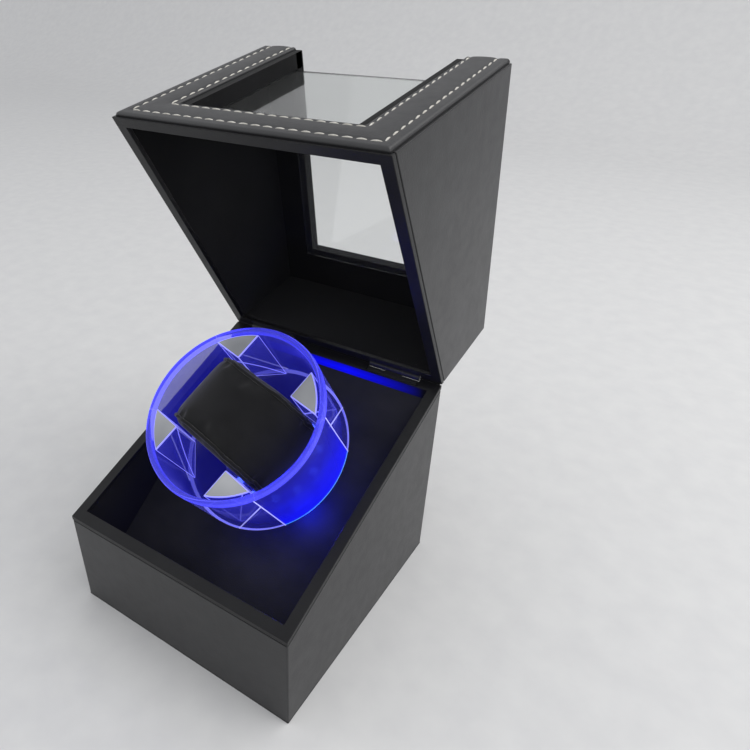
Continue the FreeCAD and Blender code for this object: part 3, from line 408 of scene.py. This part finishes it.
STITCH = thread("cream_thread")
# painted glow on the drum's lip
PAINTED_RIM_GLOW = rim_band("painted_rim_glow")
# painted glow on the wedges' bevelled edges and on the drum's heel
PAINTED_EDGE_GLOW = glowing("painted_edge_glow", (0.22, 0.22, 0.80), 1.0)
# painted highlight: glowing lines where the wedges meet the drum wall
PAINTED_JOINT_HIGHLIGHT = glowing("painted_joint_highlight", (0.42, 0.42, 0.95), 1.0)
# painted highlight: the cyan glint along the heel at the lit end of the strap
PAINTED_HEEL_HIGHLIGHT = glowing("painted_heel_highlight", (0.03, 0.30, 1.0), 1.0)
# painted glows: each drum wall material's blue emission stands in for the ring board's light, most saturated at
# the lit end of the strap
PAINTED_BLUE_GLOW_WALL = painted_glow_acrylic(
    "painted_blue_glow_wall", [(0.05, (0.004, 0.004, 0.12)), (0.35, (0.003, 0.003, 0.34)), (0.85, (0.002, 0.003, 1.0))],
    0.9, 0.88,
)
PAINTED_CLEAR_GLOW_WALL = painted_glow_acrylic(
    "clear_wall_painted_glow", [(0.05, (0.03, 0.03, 0.30)), (0.9, (0.010, 0.010, 0.16))], 0.8, 0.24, 0.06
)
PAINTED_INNER_GLOW_WALL = painted_glow_acrylic(
    "inner_wall_painted_glow", [(0.05, (0.03, 0.03, 0.42)), (0.5, (0.010, 0.010, 0.26)), (0.95, (0.004, 0.004, 0.12))],
    0.8, 0.62,
)
PAINTED_SOFT_GLOW_WALL = painted_glow_acrylic(
    "soft_painted_blue_glow_wall", [(0.05, (0.02, 0.02, 0.30)), (0.9, (0.006, 0.006, 0.20))], 0.8, 0.34, 0.10
)
PAINTED_GLOW_DRUM_FLOOR = painted_glow_acrylic("drum_floor", [(0.0, (0.003, 0.003, 0.07)), (1.0, (0.003, 0.003, 0.10))], 0.7, 0.55)
SILVER = silver_face("silver_face")
# painted light: a lighter copy of the black velvet, for the light that falls on the platform
PLATFORM_PAINTED_LIGHT_VELVET = velvet("platform_velvet_painted_light", (0.015, 0.015, 0.017), (0.028, 0.028, 0.031), 0.3)
# painted shade on the window reveal liners; also the hinge cord's own black
REVEAL = velvet("reveal_painted_shade_and_cord_black", (0.003, 0.003, 0.0035), (0.006, 0.006, 0.007), 0.1)


def dress_cad_nodes():
    """Every carried-over CAD node gets the material of its slot; the platform's velvet then gets a lighter copy,
    painted light.
    """
    for entry in frame["record"]["subparts"]:
        mesh = frame["nodes"][entry["node"]].data
        mesh.materials.clear()
        mesh.materials.append(MATERIALS[entry["material_slot"]])
    # painted light: lighter velvet on the platform
    frame["nodes"]["platform_velvet"].data.materials[0] = PLATFORM_PAINTED_LIGHT_VELVET


# ---------------------------------------------------------------- camera, light and floor
def make_camera():
    """The photographer's place: high, in front and to the right."""
    azimuth, elevation, roll = math.radians(34.68), math.radians(32.1), math.radians(0.14)
    level = math.cos(elevation)
    forward = Vector((-math.sin(azimuth) * level, math.cos(azimuth) * level, -math.sin(elevation)))
    data = bpy.data.cameras.new("camera")
    data.sensor_width = 36.0
    data.lens = 31.33
    data.shift_x = 0.1085
    data.shift_y = 0.0258
    data.clip_start, data.clip_end = 0.01, 20
    camera = bpy.data.objects.new("camera", data)
    camera.location = (0.1374, -0.1720, 0.2346)
    camera.rotation_mode = "QUATERNION"
    aim = forward.to_track_quat("-Z", "Y").to_matrix() @ Matrix.Rotation(-roll, 3, "Z")
    camera.rotation_quaternion = aim.to_quaternion()
    bpy.context.scene.collection.objects.link(camera)
    bpy.context.scene.camera = camera
    bpy.context.scene.view_settings.view_transform = "Standard"


def area_light(name, place, target, width, height, power, color=(1, 1, 1)):
    """A rectangular soft lamp aimed at a target, itself unseen by the camera."""
    data = bpy.data.lights.new(name, "AREA")
    data.shape = "RECTANGLE"
    data.size, data.size_y = width, height
    data.energy = power
    data.color = color
    lamp = bpy.data.objects.new(name, data)
    lamp.location = place
    lamp.rotation_euler = (Vector(target) - Vector(place)).to_track_quat("-Z", "Y").to_euler()
    lamp.visible_camera = False
    bpy.context.scene.collection.objects.link(lamp)


def point_light(name, place, power, color, radius):
    """A small round lamp."""
    data = bpy.data.lights.new(name, "POINT")
    data.energy = power
    data.color = color
    data.shadow_soft_size = radius
    lamp = bpy.data.objects.new(name, data)
    lamp.location = place
    bpy.context.scene.collection.objects.link(lamp)


def make_stage():
    """A pale floor that curves up behind, soft light from above and the right."""
    half, rear, height, radius, steps = 2.4, 1.5, 2.2, 0.5, 8
    section = [(-half, 0.0), (rear - radius, 0.0)]
    for step in range(1, steps + 1):
        turn = step / steps * math.pi / 2
        section.append((rear - radius + radius * math.sin(turn), radius - radius * math.cos(turn)))
    section.append((rear, height))
    vertices = [(x, y, z) for y, z in section for x in (-half, half)]
    faces = [(2 * i, 2 * i + 1, 2 * i + 3, 2 * i + 2) for i in range(len(section) - 1)]
    floor = bpy.data.objects.new("floor", mesh_from("floor", vertices, faces))
    bpy.context.scene.collection.objects.link(floor)
    paper = plain("pale_paper", (0.66, 0.66, 0.665), (0.70, 0.70, 0.70), 0.75, grain=300)
    floor.data.materials.append(paper)

    world = bpy.data.worlds.new("studio")
    world.use_nodes = True
    background = world.node_tree.nodes["Background"]
    background.inputs["Color"].default_value = (0.97, 0.98, 1.0, 1.0)
    background.inputs["Strength"].default_value = 0.74
    bpy.context.scene.world = world
    middle = (0, 0, 0.08)
    area_light("key", (0.55, 0.40, 1.15), middle, 1.2, 1.0, 7.0, (1.0, 0.99, 0.97))
    area_light("right", (0.85, 0.10, 0.35), (0.05, 0.0, 0.03), 0.6, 0.3, 1.4)
    area_light("left_fill", (-0.9, -0.5, 0.7), middle, 0.8, 0.8, 0.6, (0.96, 0.98, 1.0))


def make_blue_light():
    """The light that the ring board throws out from under the drum."""
    blue = (0.01, 0.02, 1.0)
    for name, place, power in (
        ("ring_right", (27, -16, -43), 0.040),
        ("ring_front", (5, -28, -43), 0.005),
        ("ring_rear", (20, 24, -43), 0.002),
    ):
        point_light(name, DRUM_SQUARE @ Vector([c * MM for c in place]), power, blue, 7 * MM)


# ---------------------------------------------------------------- padded frames and stitching
OUTER_SEAM, INNER_SEAM = 4.3 * MM, 2.0 * MM    # each seam's distance from its edge
PAD_HALF, PAD_HOLE = 54.0 * MM, 37.5 * MM      # half widths of the pad and of its opening
PAD_HEIGHT = 1.5 * MM
PAD_ROLL = 1.5 * MM
PAD_CROWN = 0.25 * MM
PAD_STEP = 0.5 * MM
SEAM_DEPTH, SEAM_SPREAD = 0.28 * MM, 0.62 * MM
SEAM_END = 1.2 * MM                            # a seam stops this far short of the open end
STITCH_PITCH = 4.7 * MM
STITCH_RINGS, STITCH_AROUND = 9, 8
STITCH_TIP, STITCH_SWELL = 0.14 * MM, 0.22 * MM
STITCH_SUNK, STITCH_RISE = 0.22 * MM, 0.34 * MM


class PaddedFrame:
    """A U-shaped pad drawn on its own plane: across is X, along runs from the bar to the open ends."""

    def __init__(self, name, along_low, along_high, bar, place, body, replaced):
        self.name = name
        self.low, self.high = along_low, along_high
        self.bar = bar
        self.place = place
        self.body = body
        self.replaced = replaced

    def edge_distances(self, x, a):
        """How far a point of the pad lies inside the outer and the inner edge."""
        outer = min(PAD_HALF - abs(x), a - self.low)
        inner_side = abs(x) - PAD_HOLE
        if a >= self.bar:
            inner = inner_side
        elif inner_side <= 0:
            inner = self.bar - a
        else:
            inner = math.hypot(inner_side, self.bar - a)
        return outer, inner

    def height(self, x, a):
        """Pad surface above its plane: rolled edges, sewn valleys and a soft crown between."""
        outer, inner = self.edge_distances(x, a)
        end = self.high - a
        edge = max(0.0, min(outer, inner, end))
        roll = math.sqrt(max(0.0, 1 - (1 - min(edge / PAD_ROLL, 1.0)) ** 2))
        between = (outer - OUTER_SEAM) / max(outer + inner - OUTER_SEAM - INNER_SEAM, 1e-6)
        crown = PAD_CROWN * math.sin(math.pi * between) if 0 < between < 1 else 0.0
        valley = 0.0
        for distance, seam in ((outer, OUTER_SEAM), (inner, INNER_SEAM)):
            valley += SEAM_DEPTH * math.exp(-(((distance - seam) / SEAM_SPREAD) ** 2))
        return roll * (PAD_HEIGHT + crown - valley)

    def grid(self, low, high):
        """Even steps from low to high, both ends included."""
        count = max(2, round((high - low) / PAD_STEP))
        return [low + (high - low) * i / count for i in range(count + 1)]

    def build(self):
        """The closed pad, on a grid that leaves out the opening."""
        across = self.grid(-PAD_HALF, -PAD_HOLE) + self.grid(-PAD_HOLE, PAD_HOLE)[1:]
        across += self.grid(PAD_HOLE, PAD_HALF)[1:]
        along = self.grid(self.low, self.bar) + self.grid(self.bar, self.high)[1:]
        left, right = across.index(-PAD_HOLE), across.index(PAD_HOLE)
        bar_row = along.index(self.bar)
        vertices, top, bottom = [], {}, {}
        for i, x in enumerate(across):
            for j, a in enumerate(along):
                if left < i < right and j > bar_row:
                    continue
                height = self.height(x, a)
                top[i, j] = len(vertices)
                vertices.append(self.place(x, a, height))
                if height > 1e-9:
                    bottom[i, j] = len(vertices)
                    vertices.append(self.place(x, a, 0.0))
                else:
                    bottom[i, j] = top[i, j]
        faces = []
        for i in range(len(across) - 1):
            for j in range(len(along) - 1):
                if left <= i < right and j >= bar_row:
                    continue
                corners = [(i, j), (i + 1, j), (i + 1, j + 1), (i, j + 1)]
                faces.append([top[c] for c in corners])
                faces.append([bottom[c] for c in reversed(corners)])
        mesh = mesh_from(self.name, vertices, faces)
        piece = add_object(self.name, mesh, self.body, self.replaced)
        face_outward(mesh)
        mesh.materials.append(MATERIALS["padded_leather"])

    def seam_path(self, kind):
        """Corner points of a sewn row, from one open end round to the other."""
        if kind == "outer":
            x, a = PAD_HALF - OUTER_SEAM, self.low + OUTER_SEAM
        else:
            x, a = PAD_HOLE + INNER_SEAM, self.bar - INNER_SEAM
        end = self.high - SEAM_END
        return [(-x, end), (-x, a), (x, a), (x, end)]

    def stitches(self):
        """Both sewn rows as real lengths of thread that dip into the leather at each end."""
        vertices, faces = [], []
        for kind in ("outer", "inner"):
            path = self.seam_path(kind)
            for start, end in zip(path, path[1:]):
                span = math.hypot(end[0] - start[0], end[1] - start[1])
                count = round(span / STITCH_PITCH)
                for k in range(count):
                    self.one_stitch(vertices, faces, start, end, k, count, span)
        mesh = mesh_from(self.name + "_stitching", vertices, faces)
        mesh.materials.append(STITCH)
        add_object(self.name + "_stitching", mesh, self.body)

    def one_stitch(self, vertices, faces, start, end, k, count, span):
        """The k-th of count stitches on one straight run: a slightly slanted, swollen length of thread."""
        direction = ((end[0] - start[0]) / span, (end[1] - start[1]) / span)
        side = (-direction[1], direction[0])
        slant = rng.uniform(0.10, 0.26) * MM
        length = span / count * rng.uniform(0.80, 0.88)
        centre = (k + 0.5) * span / count
        first = len(vertices)
        for r in range(STITCH_RINGS):
            t = r / (STITCH_RINGS - 1)
            bulge = math.sin(math.pi * t)
            along = centre + (t - 0.5) * length
            offset = slant * (2 * t - 1)
            x = start[0] + direction[0] * along + side[0] * offset
            a = start[1] + direction[1] * along + side[1] * offset
            radius = STITCH_TIP + STITCH_SWELL * max(bulge, 0.0) ** 0.5
            lift = self.height(x, a) - STITCH_SUNK + STITCH_RISE * bulge
            for q in range(STITCH_AROUND):
                angle = 2 * math.pi * q / STITCH_AROUND
                shift = radius * math.cos(angle)
                rise = 0.8 * radius * math.sin(angle)
                vertices.append(self.place(x + side[0] * shift, a + side[1] * shift, lift + rise))
        faces.extend(skin_faces(first, STITCH_RINGS, STITCH_AROUND))


def skin_faces(first, rings, around):
    """The faces of a capped tube whose rings of points follow each other from number first."""
    faces = []
    for r in range(rings - 1):
        for q in range(around):
            here, after = first + r * around, first + (r + 1) * around
            nxt = (q + 1) % around
            faces.append((here + q, here + nxt, after + nxt, after + q))
    faces.append([first + q for q in reversed(range(around))])
    faces.append([first + (rings - 1) * around + q for q in range(around)])
    return faces


def lid_point(x, y, z):
    """A place on the shut lid, moved to where the lid rests."""
    return LID @ Vector((x, y, z))


def make_padded_frames():
    """The stitched pads round the front window and round the top window."""
    front = PaddedFrame(
        "front_padded_frame_soft", CUT_FRONT + 1.6 * MM, CLOSED_TOP + 0.9 * MM, WINDOW_SILL,
        lambda x, a, h: lid_point(x, LID_FRONT - h, a), "lid", ("front_padded_frame",),
    )
    top = PaddedFrame(
        "top_padded_frame_soft", -(HALF_DEPTH - 1.0 * MM), HALF_DEPTH + 0.2 * MM, -36.0 * MM,
        lambda x, a, h: lid_point(x, -a, CLOSED_TOP + h), "lid", ("top_padded_frame",),
    )
    for pad in (front, top):
        pad.build()
        pad.stitches()


# ---------------------------------------------------------------- drum
def drum_profile():
    """Outer wall, rounded thick rim, inner wall and floor as (radius, height, kind)."""
    rim = DRUM_WALL / 2
    points = [
        (0.0, -DRUM_DEPTH, "floor"),
        (DRUM_REAR_RADIUS - 1.0 * MM, -DRUM_DEPTH, "heel"),
        (DRUM_REAR_RADIUS - 0.3 * MM, -DRUM_DEPTH + 0.3 * MM, "heel"),
        (DRUM_REAR_RADIUS, -DRUM_DEPTH + 1.0 * MM, "heel"),
        (DRUM_REAR_RADIUS + 0.02 * MM, -DRUM_DEPTH + 1.7 * MM, "wall"),
        (DRUM_REAR_RADIUS + 0.33 * MM, -DRUM_DEPTH / 2, "wall"),
        (DRUM_RADIUS - 0.02 * MM, -LIP_HEIGHT, "rim"),
    ]
    for step in range(0, 9):
        turn = math.pi * step / 8
        points.append((DRUM_RADIUS - rim + rim * math.cos(turn), -rim + rim * math.sin(turn), "rim"))
    points += [
        (DRUM_RADIUS - DRUM_WALL, -LIP_HEIGHT, "inner"),
        (DRUM_REAR_RADIUS - DRUM_WALL + 0.3 * MM, -DRUM_DEPTH / 2, "inner"),
        (DRUM_REAR_RADIUS - DRUM_WALL, -DRUM_DEPTH + DRUM_FLOOR + 0.8 * MM, "inner"),
        (DRUM_REAR_RADIUS - DRUM_WALL - 0.8 * MM, -DRUM_DEPTH + DRUM_FLOOR, "floor"),
        (0.0, -DRUM_DEPTH + DRUM_FLOOR, "floor"),
    ]
    return points


def sector_of(angle):
    """Which stretch of the drum wall an angle falls on: an end of the strap, a side, or a wedge."""
    strap = math.asin(STRAP_HALF / BLOCK_RADIUS)
    cross = math.asin(CROSS_HALF / BLOCK_RADIUS)
    turn = abs(math.remainder(angle, 2 * math.pi))
    if turn < strap:
        return "lit"
    if math.pi - turn < strap or abs(math.pi / 2 - turn) < cross:
        return "side"
    return "wedge"


def make_drum_shell():
    """The drum turned from its profile, with a painted blue glow for each stretch of its wall."""
    profile = drum_profile()
    vertices, kinds, faces = [], [], []
    for turn in range(TURNS):
        angle = 2 * math.pi * turn / TURNS
        for radius, height, _ in profile[1:-1]:
            vertices.append((radius * math.cos(angle), radius * math.sin(angle), height))
    ring = len(profile) - 2
    rear_centre, floor_centre = len(vertices), len(vertices) + 1
    vertices += [(0, 0, profile[0][1]), (0, 0, profile[-1][1])]
    for turn in range(TURNS):
        here, after = turn * ring, (turn + 1) % TURNS * ring
        sector = sector_of(2 * math.pi * (turn + 0.5) / TURNS)
        faces.append((rear_centre, after, here))
        kinds.append(("floor", sector))
        for k in range(ring - 1):
            faces.append((here + k, after + k, after + k + 1, here + k + 1))
            kinds.append((profile[k + 1][2], sector))
        faces.append((floor_centre, here + ring - 1, after + ring - 1))
        kinds.append(("floor", sector))
    mesh = mesh_from("drum_shell_soft", vertices, faces, DRUM)
    materials = {
        "clear": PAINTED_CLEAR_GLOW_WALL, "inner": PAINTED_INNER_GLOW_WALL, "rim": PAINTED_RIM_GLOW, "lit": PAINTED_BLUE_GLOW_WALL, "side": PAINTED_SOFT_GLOW_WALL,
        "floor": PAINTED_GLOW_DRUM_FLOOR, "edge": PAINTED_EDGE_GLOW, "heel": PAINTED_HEEL_HIGHLIGHT,
    }
    order = list(materials)
    for material in materials.values():
        mesh.materials.append(material)
    chosen = []
    for kind, sector in kinds:
        if kind == "wall":
            chosen.append(order.index("clear" if sector == "wedge" else sector))
        elif kind == "heel":
            chosen.append(order.index("heel" if sector == "lit" else "edge"))
        else:
            chosen.append(order.index(kind))
    mesh.polygons.foreach_set("material_index", chosen)
    add_object("drum_shell_soft", mesh, "drum", ("drum_shell",))


def make_corner_block(number, along, across):
    """A clear wedge with a silver face; its bevelled edges carry a painted glow."""
    end_x = math.sqrt(BLOCK_RADIUS**2 - STRAP_HALF**2)
    end_y = math.sqrt(BLOCK_RADIUS**2 - CROSS_HALF**2)
    start, stop = math.atan2(STRAP_HALF, end_x), math.atan2(end_y, CROSS_HALF)
    outline = [(CROSS_HALF, STRAP_HALF)]
    for step in range(13):
        turn = start + (stop - start) * step / 12
        outline.append((BLOCK_RADIUS * math.cos(turn), BLOCK_RADIUS * math.sin(turn)))
    outline = [(along * x, across * y) for x, y in outline]
    if along * across < 0:
        outline.reverse()
    full = DRUM_DEPTH - DRUM_FLOOR

    def underside(y):
        return -(BLOCK_SHALLOW + (full - BLOCK_SHALLOW) * (abs(y) - STRAP_HALF) / (end_y - STRAP_HALF))

    bm = bmesh.new()
    top = [bm.verts.new((x, y, -BLOCK_SETBACK)) for x, y in outline]
    bottom = [bm.verts.new((x, y, underside(y))) for x, y in outline]
    count = len(outline)
    face = bm.faces.new(top)
    face.material_index = 1
    bm.faces.new(list(reversed(bottom)))
    for i in range(count):
        j = (i + 1) % count
        bm.faces.new((top[j], top[i], bottom[i], bottom[j]))
    bmesh.ops.recalc_face_normals(bm, faces=bm.faces)
    sharp = [e for e in bm.edges if len(e.link_faces) == 2 and e.calc_face_angle() > math.radians(25)]
    bmesh.ops.bevel(
        bm, geom=sharp, offset=0.42 * MM, offset_type="OFFSET", segments=2, profile=0.5, affect="EDGES",
        material=2,
    )
    mesh = bpy.data.meshes.new(f"wedge_{number}")
    bm.to_mesh(mesh)
    bm.free()
    mesh.transform(DRUM)
    for material in (MATERIALS["clear_block"], SILVER, PAINTED_EDGE_GLOW):
        mesh.materials.append(material)
    add_object(f"wedge_{number}", mesh, "drum", (f"corner_block_{number}",))


def make_wall_edges():
    """Painted highlights: glowing lines where each wedge meets the wall, down its strap side and along its
    underside.
    """
    turn = math.asin(STRAP_HALF / BLOCK_RADIUS)
    for across in (1, -1):
        for along in (1, -1):
            corner = ("right" if along > 0 else "left") + ("_upper" if across > 0 else "_lower")
            side = []
            for height in JOINT_HIGHLIGHT_HEIGHTS:
                radius = wall_radius(height * MM)
                side.append((along * radius * math.cos(turn), across * radius * math.sin(turn), height * MM))
            slope = [(along * x * MM, across * y * MM, z * MM) for x, y, z in JOINT_HIGHLIGHT_SLOPE]
            for name, points in (("side_", side), ("slope_", slope)):
                tube(
                    "joint_" + name + corner, points, JOINT_HIGHLIGHT_RADIUS, "drum", PAINTED_JOINT_HIGHLIGHT, DRUM,
                    closed=False,
                )


def wall_radius(height):
    """Just inside the drum's outer face at this height."""
    return DRUM_REAR_RADIUS + (DRUM_RADIUS - DRUM_REAR_RADIUS) * (1 + height / DRUM_DEPTH) - 0.1 * MM


def make_drum():
    """The drum with its wedges, numbered as in the CAD."""
    make_drum_shell()
    make_wall_edges()
    number = 1
    for across in (1, -1):
        for along in (1, -1):
            make_corner_block(number, along, across)
            number += 1


# ---------------------------------------------------------------- cushion
SIMULATION_SCALE = 10.0    # the cloth is swollen at ten times its size, where the solver is steadier
SWELL_ROOM = 1.5 * MM      # how much smaller than the cushion the form starts
SWELL_CAP = 1.3 * MM
VOXEL = 1.7 * MM


def oval(inset, count=72):
    """The cushion's end outline: a stadium lying along the strap, as (x, z) points."""
    radius = CUSHION_HEIGHT / 2 - inset
    flat = CUSHION_HALF_LENGTH - CUSHION_HEIGHT / 2
    middle = CUSHION_BOTTOM + CUSHION_HEIGHT / 2
    points = []
    for step in range(count):
        angle = 2 * math.pi * step / count
        x = radius * math.cos(angle) + (flat if math.cos(angle) > 0 else -flat)
        points.append((x, middle + radius * math.sin(angle)))
    return points


def make_cushion():
    """Foam cushion: the oval form swollen by a cloth simulation, with piped end seams."""
    outline = oval(SWELL_ROOM)
    half = CUSHION_HALF_WIDTH - SWELL_ROOM
    count = len(outline)
    vertices = [(x, side * half, z) for side in (-1, 1) for x, z in outline]
    faces = [list(reversed(range(count))), list(range(count, 2 * count))]
    for i in range(count):
        j = (i + 1) % count
        faces.append((i, j, count + j, count + i))
    mesh = mesh_from("cushion_soft", vertices, faces)
    mesh.transform(Matrix.Scale(SIMULATION_SCALE, 4))
    piece = bpy.data.objects.new("cushion_soft", mesh)
    bpy.context.scene.collection.objects.link(piece)
    remesh = piece.modifiers.new("remesh", "REMESH")
    remesh.mode = "VOXEL"
    remesh.voxel_size = VOXEL * SIMULATION_SCALE
    apply_modifiers(piece)
    swell(piece, SWELL_CAP * SIMULATION_SCALE)
    smooth = piece.modifiers.new("smooth", "SUBSURF")
    smooth.levels = smooth.render_levels = 1
    apply_modifiers(piece)
    piece.data.transform(DRUM @ Matrix.Scale(1 / SIMULATION_SCALE, 4))
    piece.data.polygons.foreach_set("use_smooth", [True] * len(piece.data.polygons))
    piece.data.materials.clear()
    piece.data.materials.append(MATERIALS["cushion_cover"])
    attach(piece, "cushion")
    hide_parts("cushion_cover", "cushion_core")
    mesh = piece.data
    cover = BVHTree.FromPolygons([v.co for v in mesh.vertices], [p.vertices for p in mesh.polygons])
    for side in (-1, 1):
        piping(side, cover)


def swell(piece, cap):
    """Puff the cover out under pressure and keep every point within cap of its start."""
    before = np.array([v.co for v in piece.data.vertices])
    cloth = piece.modifiers.new("cloth", "CLOTH")
    cloth.settings.use_pressure = True
    cloth.settings.uniform_pressure_force = 4.0
    cloth.settings.effector_weights.gravity = 0.0
    cloth.settings.tension_stiffness = 18.0
    cloth.settings.compression_stiffness = 18.0
    scene = bpy.context.scene
    for step in range(1, 21):
        scene.frame_set(step)
    apply_modifiers(piece)
    scene.frame_set(1)
    after = np.array([v.co for v in piece.data.vertices])
    moved = after - before
    length = np.linalg.norm(moved, axis=1)
    scale = np.minimum(1.0, cap / np.maximum(length, 1e-9))
    piece.data.vertices.foreach_set("co", (before + moved * scale[:, None]).ravel())
    piece.data.update()


def tube(name, path, radius, body, material, matrix=None, closed=True):
    """A round cord along a closed or open path of points."""
    points = [Vector(p) for p in path]
    count = len(points)
    around = 8
    vertices = []
    normal_hint = Vector((0, 1, 0))
    for i, point in enumerate(points):
        if closed:
            ahead = points[(i + 1) % count] - points[i - 1]
        else:
            ahead = points[min(i + 1, count - 1)] - points[max(i - 1, 0)]
        side = ahead.cross(normal_hint).normalized()
        up = side.cross(ahead).normalized()
        for q in range(around):
            angle = 2 * math.pi * q / around
            vertices.append(point + radius * (math.cos(angle) * side + math.sin(angle) * up))
    faces = skin_faces(0, count, around)
    if closed:
        last = (count - 1) * around
        faces[-2:] = [(last + q, last + (q + 1) % around, (q + 1) % around, q) for q in range(around)]
    mesh = mesh_from(name, vertices, faces, matrix)
    mesh.materials.append(material)
    add_object(name, mesh, body)


def piping(side, cover):
    """The covered cord sewn round one end of the cushion, half sunk in its cover."""
    to_drum = DRUM.inverted()
    seam = side * (CUSHION_HALF_WIDTH - 1.2 * MM)
    path = []
    for x, z in oval(0.9 * MM, 96):
        place, normal, *_ = cover.find_nearest(DRUM @ Vector((x, seam, z)))
        path.append(to_drum @ (place + 0.25 * MM * normal))
    name = "piping_left" if side < 0 else "piping_right"
    tube(name, path, 0.75 * MM, "cushion", MATERIALS["cushion_cover"], DRUM)


# ---------------------------------------------------------------- box skins, panes and small parts
def make_skins():
    """Rounded edges on the skins, rim strips, panes and felt, each in its node's place."""
    for node, slot, width, segments in (
        ("base_leather_wrap", "leather", 0.35, 3),
        ("lid_leather_wrap", "leather", 0.35, 3),
        ("base_rim_trim", "leather_trim", 0.6, 3),
        ("lid_rim_trim", "leather_trim", 0.6, 3),
        ("front_pane", "window", 0.15, 2),
        ("top_pane", "window", 0.15, 2),
        ("front_pane_frame", "black_plastic", 0.4, 2),
        ("base_bottom_felt", "felt", 0.25, 2),
    ):
        softened(node, MATERIALS[slot], width * MM, segments)


def swept(name, section, path, place, body, material):
    """A strip with a mitred corner at each inner point of its path; section is (outward, up)."""
    vertices = []
    for i, (x, a) in enumerate(path):
        sides = []
        for start, end in zip(path, path[1:]):
            span = math.hypot(end[0] - start[0], end[1] - start[1])
            sides.append(((end[1] - start[1]) / span, -(end[0] - start[0]) / span))
        before, after = sides[max(i - 1, 0)], sides[min(i, len(sides) - 1)]
        scale = 1 / (1 + before[0] * after[0] + before[1] * after[1])
        outward = ((before[0] + after[0]) * scale, (before[1] + after[1]) * scale)
        for out, up in section:
            vertices.append(place(x + outward[0] * out, a + outward[1] * out, up))
    mesh = mesh_from(name, vertices, skin_faces(0, len(path), len(section)))
    face_outward(mesh)
    mesh.polygons.foreach_set("use_smooth", [False] * len(mesh.polygons))
    mesh.materials.append(material)
    add_object(name, mesh, body)


def liner(name, depth, start, end, place):
    """A folded strip round three sides of a window: a narrow lip on the face and a wall down the cut edge."""
    half, lip, thick = 34.5 * MM, 3.1 * MM, 0.25 * MM
    section = [(lip, 0.0), (lip, thick), (-thick, thick), (-thick, -depth), (0.0, -depth), (0.0, 0.0)]
    path = [(-half, end), (-half, start), (half, start), (half, end)]
    swept(name, section, path, place, "lid", REVEAL)


def make_reveals():
    """Near-black liners that wrap the cut edges of both windows: painted shade that darkens the reveals."""
    short = 0.4 * MM
    liner(
        "front_window_liner", 5.9 * MM, WINDOW_SILL, CLOSED_TOP - short,
        lambda x, a, h: lid_point(x, LID_FRONT - h, a),
    )
    liner(
        "top_window_liner", 4.3 * MM, -33 * MM, HALF_DEPTH - short,
        lambda x, a, h: lid_point(x, -a, CLOSED_TOP + h),
    )


def make_hinge_cord():
    """A thin black sealing cord on the hinge's own axis, between the two rounded rims."""
    half = 54.2 * MM
    points = [(x, PIVOT.y, PIVOT.z) for x in (-half, -20 * MM, 20 * MM, half)]
    tube("hinge_cord", points, 0.24 * MM, "base", REVEAL, None, closed=False)


def painted_rear_glow_material():
    """Black pile with a painted blue glow for the light from the gap below; the painted glow dies away upwards and
    to both ends.
    """
    s = Shader("painted_rear_glow")
    parts = s.add("ShaderNodeSeparateXYZ")
    s.link(s.coords, parts.inputs["Vector"])
    half, tall = 52 * MM, 7 * MM
    along = s.math("DIVIDE", s.math("ADD", parts.outputs["X"], half), 2 * half)
    rise = s.math("DIVIDE", s.math("SUBTRACT", parts.outputs["Z"], PLATFORM_TOP), tall)
    bright = s.ramp(along, [(0.12, 0.0), (0.40, 0.8), (0.62, 1.0), (0.80, 0.5), (0.97, 0.0)])
    fade = s.ramp(rise, [(0.0, 0.75), (0.25, 1.0), (0.62, 0.55), (0.92, 0.0)])
    s.link(s.math("MULTIPLY", bright, fade), s.bsdf.inputs["Emission Strength"])
    s.set(
        Base_Color=(0.004, 0.004, 0.005, 1.0), Emission_Color=(0.001, 0.001, 1.0, 1.0), Roughness=0.9,
        Specular_IOR_Level=0.2,
    )
    s.bump(s.noise(2600, 2, 0.7), 0.12 * MM, 0.7)
    return s.material


def make_painted_rear_glow():
    """A painted blue glow band low on the rear wall's pile, from just under the platform's face to just under the
    cut.
    """
    half, thick = 50.5 * MM, 0.3 * MM
    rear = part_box("base_velvet_lining")[1].y - 0.7 * MM
    low = PLATFORM_TOP - 0.2 * MM
    high = CUT_REAR - CUT_SLOPE * (HALF_DEPTH - rear) - 0.35 * MM
    section = [(rear - thick, low), (rear, low), (rear, high), (rear - thick, high)]
    vertices = [(x, y, z) for x in (-half, half) for y, z in section]
    faces = [(0, 1, 5, 4), (1, 2, 6, 5), (2, 3, 7, 6), (3, 0, 4, 7), (3, 2, 1, 0), (4, 5, 6, 7)]
    mesh = mesh_from("painted_rear_glow_band", vertices, faces)
    mesh.polygons.foreach_set("use_smooth", [False] * len(mesh.polygons))
    mesh.materials.append(painted_rear_glow_material())
    add_object("painted_rear_glow_band", mesh, "base")


make_camera()
make_stage()
make_blue_light()
dress_cad_nodes()
make_skins()
make_padded_frames()
make_drum()
make_cushion()
make_reveals()
make_hinge_cord()
make_painted_rear_glow()
